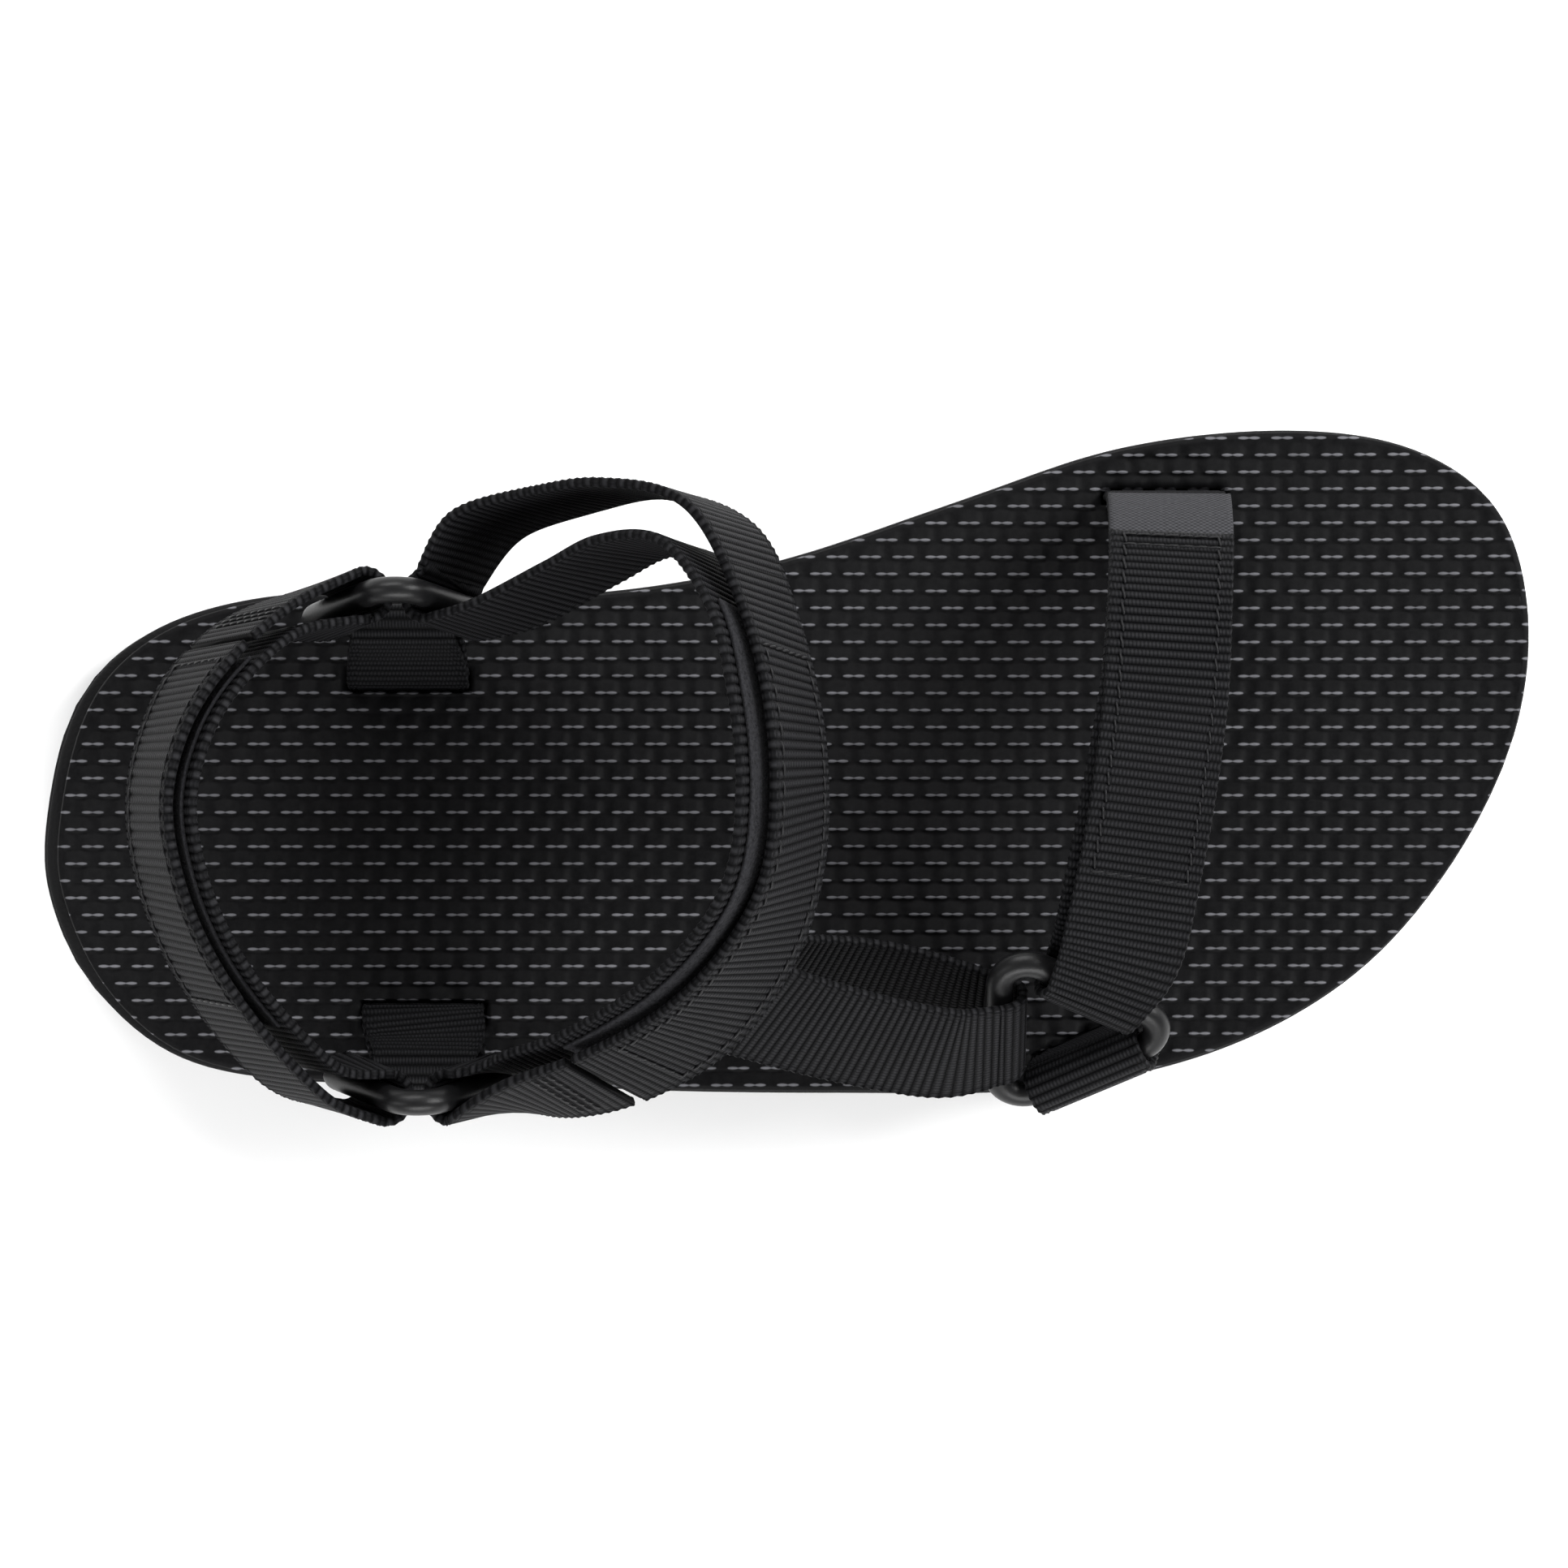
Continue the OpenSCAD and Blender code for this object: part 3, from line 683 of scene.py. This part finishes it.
EDGE_PLACES = [10, 9.86, 9.62, 9.38, 9.14, 8.9, 8.65, 8.2, 7.9, 7.6, 7.3, 7.0, 4.7, 2.4]
EDGE_HEIGHTS = [0, 0.58, 0.78, 0.6, 0.78, 0.7, 0.62]
EDGE_BEADS = [0, 0.05, 0.1, 0, -0.1, -0.05, 0]
UNDER_PLACES = [9.7, 9.3, 8.8, 7.6, 4]


def webbing(name, run, first, last, made_of, sewn=None):
    """Webbing between two sections of a run. Its ribs are real, two rows of beads bind each
    edge, and sewn = (first, last) are the sections where stitches press into it."""
    last = min(last, len(run.v) - 1)
    v = run.v[first : last + 1]
    phase = v / RIB * 2 * math.pi
    rib = np.abs(np.sin(phase / 2)) ** 0.7
    places = np.array(EDGE_PLACES)
    body = len(places) - len(EDGE_HEIGHTS)
    heights = np.array(EDGE_HEIGHTS)[None] + np.cos(phase)[:, None] * np.array(EDGE_BEADS)[None]
    ribs = (0.6 + 0.2 * rib)[:, None] * np.ones(body)
    if sewn:
        pressed = (np.arange(first, last + 1) >= sewn[0]) & (np.arange(first, last + 1) <= sewn[1])
        groove = 0.18 * (np.abs(places[-body:] - STITCH_LINE) < 0.1)
        ribs = ribs - pressed[:, None] * groove[None]
    side = np.hstack([heights, ribs])
    middle = (0.6 + 0.2 * rib)[:, None]
    top = np.hstack([side, middle, side[:, ::-1]])
    under_side = np.hstack([np.full((len(v), 1), 0.68), np.full((len(v), 1), 0.7), ribs[:, :1],
                            ribs[:, :1], ribs[:, :1]])
    under = -np.hstack([under_side, middle, under_side[:, ::-1]])
    u_top = np.concatenate([-places, [0], places[::-1]])
    under_places = np.array(UNDER_PLACES)
    u_under = np.concatenate([under_places, [0], -under_places[::-1]])
    u = np.concatenate([u_top, u_under])[None] * run.half[first : last + 1, None] / HALF
    edges = np.abs(u) > 0.98 * run.half[first : last + 1, None]
    bulge = 1 + 0.009 * np.cos(phase)[:, None] * edges
    height = np.hstack([top, under]) * MM
    sections = (run.middle[first : last + 1, None] + run.side[first : last + 1, None]
                * (u * bulge)[..., None] + run.out[first : last + 1, None] * height[..., None])
    flat = np.stack([np.broadcast_to(np.concatenate([u_top, u_under])[None] * MM, u.shape),
                     np.broadcast_to(v[:, None], u.shape)], -1)
    return tube_mesh(name, sections, made_of, flat)


def band(name, run, v0, v1, low, high, half, made_of, relief=None):
    """A flat strip beside the webbing: low and high are heights from its inner side."""
    v = np.linspace(v0, v1, max(4, int((v1 - v0) / (0.5 * MM))))
    count = 25
    columns = np.linspace(-1, 1, count) * half
    u = np.concatenate([columns, columns[::-1]])
    height = np.concatenate([np.full(count, high), np.full(count, low)]) - WEB_T / 2
    us, vs = np.meshgrid(u, v)
    heights = np.broadcast_to(height[None], us.shape).copy()
    if relief:
        rough = relief(us, vs) * (np.abs(us) < half * 0.99)
        heights += np.where(np.arange(2 * count)[None] < count, rough, -rough)
    place, axes = run.at(vs.ravel(), us.ravel(), heights.ravel())
    return tube_mesh(name, place.reshape(*us.shape, 3), made_of, np.stack([us, vs], -1))


def copies(name, path, radii, sides, places, axes, made_of):
    """Many small bent tubes in one mesh. path is the tube's middle line in local axes."""
    steps = len(path)
    angle = np.arange(sides) * 2 * math.pi / sides
    path = np.asarray(path, float)
    ahead = unit(np.gradient(path, axis=0))
    lift = unit(np.cross(ahead, np.array([0, 1.0, 0])))
    wide = np.cross(lift, ahead)
    local = path[:, None] + np.asarray(radii)[:, None, None] * (
        lift[:, None] * np.cos(angle)[None, :, None] + wide[:, None] * np.sin(angle)[None, :, None])
    local = local.reshape(-1, 3)
    axes = np.stack(axes, 1)
    points = places[:, None] + np.einsum("pk,nkc->npc", local, axes)
    cell = np.arange(steps * sides).reshape(steps, sides)
    here, there = cell[:-1], cell[1:]
    quads = np.stack([here, np.roll(here, -1, 1), np.roll(there, -1, 1), there], -1).reshape(-1, 4)
    offsets = np.arange(len(places)) * steps * sides
    faces = (quads[None] + offsets[:, None, None]).reshape(-1, 4).tolist()
    for offset in offsets:
        faces += [(cell[0][::-1] + offset).tolist(), (cell[-1] + offset).tolist()]
    return mesh_object(name, points.reshape(-1, 3), faces, made_of)


def turned(axes, angle):
    """Axes turned about the outward one."""
    along, side, out = axes
    c, s = np.cos(angle)[:, None], np.sin(angle)[:, None]
    return [along * c + side * s, side * c - along * s, out]


STITCH_PATH = np.array([[-1.15, 0, -0.18], [-0.9, 0, 0.03], [0, 0, 0.12], [0.9, 0, 0.03],
                        [1.15, 0, -0.18]]) * MM
STITCH_RADII = np.array([0.1, 0.2, 0.22, 0.2, 0.1]) * MM


class Stitches:
    """Stitches collected from several lines, then built as one mesh."""

    def __init__(self):
        self.places, self.axes = [], []

    def line(self, run, v, u, turn):
        """Stitches at v along and u across, turned from the webbing's direction."""
        place, axes = run.at(v, u, np.full(len(v), WEB_T / 2 - 0.06 * MM))
        self.places.append(place)
        self.axes.append(turned(axes, np.full(len(v), turn)))

    def along(self, run, v0, v1, u):
        """A seam along the webbing, at u across it."""
        v = np.arange(v0 + 1.5 * MM, v1, STITCH_PITCH * MM)
        self.line(run, v, np.full(len(v), u), 0.22)

    def across(self, run, v, half):
        """A seam across the webbing, at v along it."""
        u = np.arange(-half, half + 0.1 * MM, SEAM_PITCH * MM)
        self.line(run, np.full(len(u), v), u, math.pi / 2 + 0.12)

    def build(self, name, made_of):
        """All the stitches as one mesh."""
        axes = [np.concatenate([a[k] for a in self.axes]) for k in range(3)]
        places = np.concatenate(self.places)
        return copies(name, STITCH_PATH, STITCH_RADII, 6, places, axes, made_of)


def uv_split(tree):
    """A strap's own coordinates, across and along it, in metres."""
    coordinates = tree.nodes.new("ShaderNodeUVMap")
    split = tree.nodes.new("ShaderNodeSeparateXYZ")
    tree.links.new(coordinates.outputs[0], split.inputs[0])
    return split.outputs["X"], split.outputs["Y"], coordinates.outputs[0]


def plain_weave(tree, across, along, across_pitch, along_pitch):
    """Over-and-under weave of threads at the given pitches, between 0 and 1."""
    weft = maths(tree, "SINE", maths(tree, "MULTIPLY", along, math.pi / along_pitch))
    warp = maths(tree, "SINE", maths(tree, "MULTIPLY", across, math.pi / across_pitch))
    return maths(tree, "MULTIPLY_ADD", maths(tree, "MULTIPLY", weft, warp), 0.5, 0.5)


YARN = 0.62 * MM
web_cloth, tree, shader = new_material("polyester_webbing", 0.6, 0.06)
# Heavy ribbed webbing: each rib is a row of yarn floats with a painted highlight along its crest
# and painted shade in the hollows between ribs.
shader.inputs["Sheen Weight"].default_value = 0.01
shader.inputs["Sheen Roughness"].default_value = 0.4
across, along, both = uv_split(tree)
ribs = maths(tree, "FRACT", maths(tree, "MULTIPLY", along, 1 / RIB))
hump = maths(tree, "SINE", maths(tree, "MULTIPLY", ribs, math.pi))
rib_number = maths(tree, "FLOOR", maths(tree, "MULTIPLY", along, 1 / RIB))
yarns = maths(tree, "MULTIPLY", across, 1 / YARN)
yarns = maths(tree, "MULTIPLY_ADD", rib_number, 0.5, yarns)
float_hump = maths(tree, "ABSOLUTE", maths(tree, "SINE", maths(tree, "MULTIPLY", yarns, math.pi)))
float_height = maths(tree, "MULTIPLY_ADD", float_hump, 0.35, 0.65)
height = maths(tree, "MULTIPLY", maths(tree, "POWER", hump, 0.6), float_height)
fibre = add(tree, "ShaderNodeTexNoise", Vector=both, Scale=2600.0, Detail=2.0)
fade = add(tree, "ShaderNodeTexNoise", Vector=both, Scale=90.0, Detail=2.0)
painted_crest_light = maths(tree, "POWER", height, 3.0)
painted_crest_light = maths(tree, "MULTIPLY", painted_crest_light, maths(tree, "MULTIPLY_ADD", fibre, 0.9, 0.45), clamp=True)
painted_crest_light = maths(tree, "MULTIPLY", painted_crest_light, maths(tree, "MULTIPLY_ADD", fade, 0.5, 0.7), clamp=True)
# near black in the hollows and grey on the crests: painted shade and painted highlight on black
# yarn
cloth = mix(tree, painted_crest_light, linear("#010102"), linear("#252527"))
finish(tree, shader, cloth, maths(tree, "MULTIPLY_ADD", fibre, 0.25, height), 0.22 * MM)

thread, tree, shader = new_material("bonded_thread", 0.5, 0.2)
# Bonded polyester thread, a little smoother than the webbing.
spot = place_in(tree)
ply = add(tree, "ShaderNodeTexNoise", Vector=spot, Scale=3000.0)
finish(tree, shader, mix(tree, ply, linear("#030304"), linear("#18181a")), ply, 0.05 * MM)

loop_pile, tree, shader = new_material("loop_tape_pile", 0.9, 0.05)
# Brushed nylon loops: matt, with a soft sheen at grazing angles.
shader.inputs["Sheen Weight"].default_value = 0.02
spot = place_in(tree)
fuzz = add(tree, "ShaderNodeTexNoise", Vector=spot, Scale=1800.0, Detail=4.0)
finish(tree, shader, mix(tree, fuzz, linear("#050506"), linear("#343437")), fuzz, 0.25 * MM)

hook_nylon, tree, shader = new_material("hook_tape_nylon", 0.5, 0.3)
# Stiff monofilament hooks on a woven backing.
across, along, _ = uv_split(tree)
weave = plain_weave(tree, across, along, 0.4 * MM, 0.4 * MM)
finish(tree, shader, mix(tree, weave, linear("#0a0a0b"), linear("#1d1d1e")), weave, 0.08 * MM)

tab_cloth, tree, shader = new_material("pull_tab_backing", 0.8, 0.06)
# The bare grey woven back of the hook tape, rough to the touch.
across, along, both = uv_split(tree)
weave = plain_weave(tree, across, along, 0.5 * MM, 0.45 * MM)
rough = add(tree, "ShaderNodeTexNoise", Vector=both, Scale=1500.0, Detail=3.0)
rough = maths(tree, "MULTIPLY_ADD", weave, 0.6, maths(tree, "MULTIPLY", rough, 0.5))
finish(tree, shader, mix(tree, rough, linear("#060607"), linear("#464649")), rough, 0.2 * MM)

chance = np.random.default_rng(7)
LOOP_PATH = np.array([[-0.22, 0, -0.1], [-0.2, 0, 0.14], [0, 0, 0.27], [0.2, 0, 0.14],
                      [0.22, 0, -0.1]]) * MM
HOOK_PATH = np.array([[0, 0, -0.1], [0, 0, 0.14], [0.09, 0, 0.25], [0.2, 0, 0.2],
                      [0.22, 0, 0.12]]) * MM


def pile_side(axes):
    """Axes for what stands on the inner side of the webbing."""
    along, side, out = axes
    return [along, -side, -out]


def loop_tape(name, run, v0, v1, node):
    """Loop tape on the side of the lower layer that the strap's end closes onto."""
    low, high = -SEWN * MM - TAPE_T, -SEWN * MM

    def rough(u, v):
        """The uneven face that the pile leaves, a little below the tape's full height."""
        return 0.05 * MM * (np.sin(u / (0.37 * MM)) * np.sin(v / (0.41 * MM)) - 1.5)

    tape = band(name, run, v0, v1, low + 0.12 * MM, high, TAPE_HALF, loop_pile, rough)
    stands_for(tape, "sole", "loop_tape", node)
    count = int((v1 - v0) * 2 * TAPE_HALF / MM**2 * 0.9)
    v = chance.uniform(v0 + 0.5 * MM, v1 - 0.5 * MM, count)
    u = chance.uniform(-TAPE_HALF + 0.5 * MM, TAPE_HALF - 0.5 * MM, count)
    place, axes = run.at(v, u, np.full(count, low + 0.2 * MM - WEB_T / 2))
    axes = turned(pile_side(axes), chance.uniform(0, 2 * math.pi, count))
    pile = copies(name + "_loops", LOOP_PATH, np.full(5, 0.035 * MM), 3, place, axes, loop_pile)
    stands_for(pile, "sole", "loop_tape")


def hook_tape(name, run, v0, v1, node, body):
    """Hook tape under the strap's end, with its hooks in rows."""
    low, high = -SEWN * MM - TAPE_T, -SEWN * MM
    tape = band(name, run, v0, v1, low + 0.3 * MM, high, TAPE_HALF, hook_nylon)
    stands_for(tape, body, "hook_tape", node)
    v, u = np.meshgrid(np.arange(v0 + 0.8 * MM, v1, 1.5 * MM), np.arange(-7.2, 7.3, 1.2) * MM)
    place, axes = run.at(v.ravel(), u.ravel(), np.full(v.size, low + 0.3 * MM - WEB_T / 2))
    lean = np.where(np.arange(v.size) // v.shape[1] % 2, 0, math.pi)
    hooks = copies(name + "_hooks", HOOK_PATH, np.full(5, 0.06 * MM), 4, place,
                   turned(pile_side(axes), lean), hook_nylon)
    stands_for(hooks, body, "hook_tape")


# Room in mm round a strap in its slit, at its faces and edges, and how far the foam sinks.
SLIT_ROOM = 0.35
SLIT_END_ROOM = 0.4
SLIT_SINK = 2.6


def open_slit(place, normal, depth):
    """Sinks the footbed round a strap that goes down into it. place and normal are in mm,
    and depth is how thick the strap is there."""
    mesh = footbed.data
    points = np.empty(len(mesh.vertices) * 3)
    mesh.vertices.foreach_get("co", points)
    points = points.reshape(-1, 3)
    normal = unit(np.array(normal[:2], float))
    offset = points[:, :2] - np.array(place[:2]) * MM
    through = np.abs(offset @ normal)
    sideways = np.abs(offset @ np.array([-normal[1], normal[0]]))
    top = points[:, 2] > FOOTBED_LEVEL - 4 * MM
    within = sideways < HALF * MM + SLIT_END_ROOM * MM
    inside = (through < depth * MM / 2 + SLIT_ROOM * MM) & within & top
    points[inside, 2] -= SLIT_SINK * MM
    mesh.vertices.foreach_set("co", points.ravel())


def closure_fold(name, run, ring, bar):
    """The stretch of webbing round the bar, as a piece of its own with its transform applied."""
    middle = ring.bar(bar)[0]
    piece = webbing(name, run, run.cut("fold", -90), run.cut("fold", 90), web_cloth)
    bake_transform(piece)


SHUT = (CLOSED, CLOSED, 0)
toe_route = [
    bar_row(front_ring, 1),
    row((53, -26, 49.5), (0.02, -0.58, 0.81), (2.2, 2, -0.5)),
    row((55, -14, 55), (0.04, -0.36, 0.93), (CLOSED, CLOSED, -1.2)),
    row((57.5, 0, 58.6), (0.05, -0.1, 0.99), (CLOSED, CLOSED, -1)),
    row((59.8, 14, 58.8), (0.04, 0.16, 0.98), (CLOSED, CLOSED, -0.5)),
    row((61.2, 27, 55), (0.03, 0.45, 0.89), SHUT),
    row((62, 38, 47.5), (0.02, 0.74, 0.67), SHUT),
    row((62.4, 44.6, 38), (0.01, 0.92, 0.4), SHUT),
    row((62.5, 47.8, 28.5), (0, 0.99, 0.12), (0, CLOSED, 0)),
    row((62.5, 48.6, 20), (0, 1, 0), (0, CLOSED, 0)),
    row((62.5, 48.6, 10.5), (0, 1, 0), (0, CLOSED, 0)),
]
toe_run = Run(
    base=walk(toe_route, 10, 0, "inner"),
    fold=fold(front_ring, 1, -90, 90),
    flap=walk(toe_route, 0, 7.4, "outer"),
)
toe_base = webbing("toe_strap_base", toe_run, 0, toe_run.cut("fold", -90), web_cloth,
                   (toe_run.cut("base", 7), toe_run.cut("base", 1.5)))
stands_for(toe_base, "sole", "webbing", "toe_strap_base")
closure_fold("toe_strap_fold", toe_run, front_ring, 1)
toe_flap = webbing("toe_strap_flap", toe_run, toe_run.cut("fold", 90),
                   toe_run.cut("flap", 6.1), web_cloth,
                   (toe_run.cut("flap", 2), toe_run.cut("flap", 6)))
stands_for(toe_flap, "toe_flap", "webbing", "toe_strap_flap")
loop_tape("toe_loop_tape", toe_run, toe_run.place_of("base", 7), toe_run.place_of("base", 1.5),
          "toe_loop_tape")
hook_tape("toe_hook_tape", toe_run, toe_run.place_of("flap", 2), toe_run.place_of("flap", 6),
          "toe_hook_tape", "toe_flap")
tab = band("toe_pull_tab", toe_run, toe_run.place_of("flap", 6.14),
           toe_run.place_of("flap", 7.36), -SEWN * MM - TAPE_T, 0.5 * MM, HALF * MM, tab_cloth)
stands_for(tab, "toe_flap", "pull_tab", "toe_pull_tab")
seams = Stitches()
for side in (-STITCH_LINE * MM, STITCH_LINE * MM):
    seams.along(toe_run, toe_run.place_of("flap", 2), toe_run.place_of("flap", 6), side)
for s in (2, 5.85, 6.02):
    seams.across(toe_run, toe_run.place_of("flap", s), SEAM_HALF * MM)
stands_for(seams.build("toe_flap_stitching", thread), "toe_flap", "thread", "toe_flap_stitching")
open_slit((62.5, 47.8), (0, 1), ONE_LAYER)

# ------------------------------------------------------------------------------------------
# Loops that hold the rings: each is one short length of webbing folded round a bar, with
# both ends going down together through a slit and glued in the midsole.


def square_to(direction, axis):
    """The part of a direction that is at right angles to an axis."""
    direction = np.array(direction, float)
    return unit(direction - axis * (direction @ axis))


def anchor(name, ring, bar, down, rows, at_bar=PINCH, below=9.5):
    """An anchor loop, from its ring's bar down to the slit where rows end. at_bar and below
    are its half widths there."""
    middle, way = ring.bar(bar)
    axis = np.cross(ring.normal, way)
    down = square_to(down, axis)
    out = unit(np.cross(axis, down))
    out = out * np.sign(out @ np.array(rows[0][3:6]))
    start = middle / MM
    route = [
        row(start, out, (ANCHOR_R, ANCHOR_R, 0), at_bar),
        row(start + down * 6, rows[0][3:6], (1, 1.4, 0), below),
        *rows[1:],
    ]
    last = len(route) - 1
    run = Run(
        inner=walk(route, last, 0, "inner"),
        fold=fold(ring, bar, -90, 90, down, out, ANCHOR_R, at_bar),
        outer=walk(route, 0, last, "outer"),
    )
    loop = webbing(name, run, 0, len(run.v) - 1, web_cloth)
    stands_for(loop, "sole", "webbing", name)
    open_slit(rows[-1][:3], rows[-1][3:6], TWO_LAYERS)


PAIR = (SEWN, SEWN, 0)
front_out = (0.41, -0.91, 0)
SPREAD = HALF + 0.4
anchor("front_anchor_strap", front_ring, 0, (0, 0.3, -0.95), [
    row((0, 0, 0), (0.41, -0.87, -0.28), PAIR),
    row((50.6, -42.9, 21.5), (0.41, -0.91, -0.1), PAIR, SPREAD),
    row((50.8, -42.7, 17), front_out, PAIR, SPREAD),
    row((50.8, -42.7, 10.5), front_out, PAIR, SPREAD),
], SPREAD, SPREAD + 0.4)
anchor("medial_anchor_strap", medial_ring, 0, (0, -0.66, -0.75), [
    row((0, 0, 0), (0, 0.78, -0.62), PAIR),
    row((-62.5, 18, 26.5), (0, 0.93, -0.37), PAIR),
    row((-62.5, 17.2, 22.5), (0, 1, 0), PAIR),
    row((-62.5, 17.2, 15), (0, 1, 0), PAIR),
])
anchor("lateral_anchor_strap", lateral_ring, 0, (0, 0.64, -0.77), [
    row((0, 0, 0), (0, -0.79, -0.61), PAIR),
    row((-60, -38.6, 26.5), (0, -0.93, -0.37), PAIR),
    row((-60, -37.8, 22.5), (0, -1, 0), PAIR),
    row((-60, -37.8, 15), (0, -1, 0), PAIR),
])

# ------------------------------------------------------------------------------------------
# Side strap: a doubled length of webbing that holds the front ring back to the instep
# strap. Its two layers are sewn together where they pass under the instep strap.

side_route = [
    bar_row(front_ring, 2),
    row((26, -40, 39), (0, -0.68, 0.73), (5.5, 4.6, 0)),
    row((15, -39, 42.5), (0, -0.66, 0.75), (8, 3.6, 0)),
    row((3, -37, 48), (0, -0.62, 0.78), (7, 2, 0)),
    row((-8, -34.5, 55), (0.1, -0.6, 0.79), (3, 0.6, 0)),
    row((-18, -33, 62), (0.3, -0.55, 0.78), PAIR),
]
side_run = Run(
    inner=walk(side_route, 5, 0, "inner"),
    fold=fold(front_ring, 2, -90, 90),
    outer=walk(side_route, 0, 5, "outer"),
)
side_strap = webbing("side_strap", side_run, 0, len(side_run.v) - 1, web_cloth)
stands_for(side_strap, "sole", "webbing", "side_strap")

# ------------------------------------------------------------------------------------------
# Instep strap: the longest strap, from the inner ring over the instep to the outer ring,
# where its end is sewn back on itself. The loose end closes with hook and loop on top.


def strap_run(route, far, far_bar, near, near_bar, sewn_from, tip):
    """A strap sewn round the far ring's bar that folds round the near ring's bar and closes
    on itself. The places along it are counted in rows of its route."""
    last = len(route) - 1
    return Run(
        sewn=walk(route, sewn_from, last, "outer"),
        end=fold(far, far_bar, 90, -90),
        base=walk(route, last, 0, "inner"),
        fold=fold(near, near_bar, -90, 90),
        flap=walk(route, 0, tip, "outer"),
    )


def closure(title, run, body, flap_from, tip, hook, loop):
    """The loose end of a strap with its hook tape and seams, and the loop tape it closes on."""
    flap = webbing(title + "_strap_flap", run, flap_from, run.cut("flap", tip), web_cloth,
                   [run.cut("flap", s) for s in hook])
    stands_for(flap, body, "webbing", title + "_strap_flap")
    tape = [run.place_of("base", s) for s in loop]
    loop_tape(title + "_loop_tape", run, *tape, title + "_loop_tape")
    hook_at = [run.place_of("flap", s) for s in hook]
    hook_tape(title + "_hook_tape", run, *hook_at, title + "_hook_tape", body)
    seams = Stitches()
    for side in (-STITCH_LINE * MM, STITCH_LINE * MM):
        seams.along(run, *hook_at, side)
    for v in hook_at:
        seams.across(run, v, SEAM_HALF * MM)
    name = title + "_flap_stitching"
    stands_for(seams.build(name, thread), body, "thread", name)


def strap_base(title, run, last, loop):
    """The part of a strap that stays put, with the groove that holds the loop tape's seams."""
    base = webbing(title + "_strap_base", run, 0, last, web_cloth,
                   [run.cut("base", s) for s in loop])
    stands_for(base, "sole", "webbing", title + "_strap_base")


instep_route = [
    bar_row(medial_ring, 2),
    row((-46, 32.5, 54.5), (-0.15, 0.95, -0.25), (4.6, 9, 0)),
    row((-34, 38, 61.5), (-0.2, 0.94, -0.25), (4, 7, 0)),
    row((-24, 41, 69), (0, 0.98, -0.1), (2.6, 4.8, 0)),
    row((-13.5, 38.3, 77.5), (0.5, 0.84, 0.15), (1.6, 3.6, 1.5)),
    row((-6.2, 27, 85.5), (0.82, 0.45, 0.35), (CLOSED, CLOSED, 3.5)),
    row((-3, 14, 90), (0.9, 0.15, 0.4), (CLOSED, CLOSED, 4.5)),
    row((-1.6, 0, 91), (0.91, -0.02, 0.41), (CLOSED, CLOSED, 4.5)),
    row((-3, -13.7, 88.4), (0.86, -0.25, 0.44), (CLOSED, CLOSED, 4.5)),
    row((-8.6, -26, 81.8), (0.68, -0.45, 0.58), (CLOSED, CLOSED, 4)),
    row((-18, -36.8, 72.6), (0.48, -0.56, 0.68), (CLOSED, CLOSED, 3.5)),
    row((-30, -44.6, 63), (0.28, -0.74, 0.61), (CLOSED, CLOSED, 2)),
    row((-41, -48.5, 55.5), (0.08, -0.92, 0.35), (2, 1.4, 0)),
    bar_row(lateral_ring, 1),
]
instep_run = strap_run(instep_route, lateral_ring, 1, medial_ring, 2, 11.1, 11)
instep_loop = 11, 5
BEND = 4
BEND_BEFORE = 0.55
BEND_AFTER = 0.6
BEND_FROM = instep_run.cut("flap", BEND - BEND_BEFORE)
BEND_TO = instep_run.cut("flap", BEND + BEND_AFTER)
strap_base("instep", instep_run, BEND_FROM, instep_loop)
# The loose end has no fold round a ring: the stretch across the webbing where the tapes begin is
# built as a piece of its own.
bend = webbing("instep_strap_bend", instep_run, BEND_FROM, BEND_TO, web_cloth)
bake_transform(bend)
closure("instep", instep_run, "instep_flap", BEND_TO, 11, (5.5, 10.5), instep_loop)

# ------------------------------------------------------------------------------------------
# Heel strap: from the outer ring round the back of the heel to the inner ring, made in the
# same way. The bar tacks close the sewn loops of this strap and of the instep strap.

heel_route = [
    bar_row(lateral_ring, 2),
    row((-76.5, -47.5, 54.8), (-0.25, -0.96, 0.1), (1.8, 1.6, 0)),
    row((-85, -38.5, 60.5), (-0.62, -0.7, 0.34), (1.2, 1.4, 0.4)),
    row((-92.5, -27, 66), (-0.8, -0.43, 0.42), (CLOSED, CLOSED, 0.8)),
    row((-97, -15, 69.3), (-0.88, -0.2, 0.42), (CLOSED, CLOSED, 0.8)),
    row((-98.7, -3, 70.3), (-0.91, 0, 0.41), (CLOSED, CLOSED, 0.8)),
    row((-96.5, 8, 69), (-0.85, 0.3, 0.42), (CLOSED, CLOSED, 0.6)),
    row((-91.5, 17.5, 65), (-0.68, 0.6, 0.4), (CLOSED, CLOSED, 0.4)),
    row((-83, 25.5, 58), (-0.32, 0.94, 0.12), (1.3, 1.3, 0)),
    bar_row(medial_ring, 1),
]
heel_run = strap_run(heel_route, medial_ring, 1, lateral_ring, 2, 7.4, 7.3)
heel_loop = 7.25, 2
strap_base("heel", heel_run, heel_run.cut("fold", -90), heel_loop)
closure_fold("heel_strap_fold", heel_run, lateral_ring, 2)
closure("heel", heel_run, "heel_flap", heel_run.cut("fold", 90), 7.3, (2.5, 7), heel_loop)
tacks = Stitches()
for run, places in ((instep_run, (11.4, 11.5, 11.6)), (heel_run, (7.7, 7.8, 7.9))):
    for s in places:
        tacks.across(run, run.place_of("sewn", s), TACK_HALF * MM)
stands_for(tacks.build("strap_bar_tacks", thread), "sole", "thread", "strap_bar_tacks")
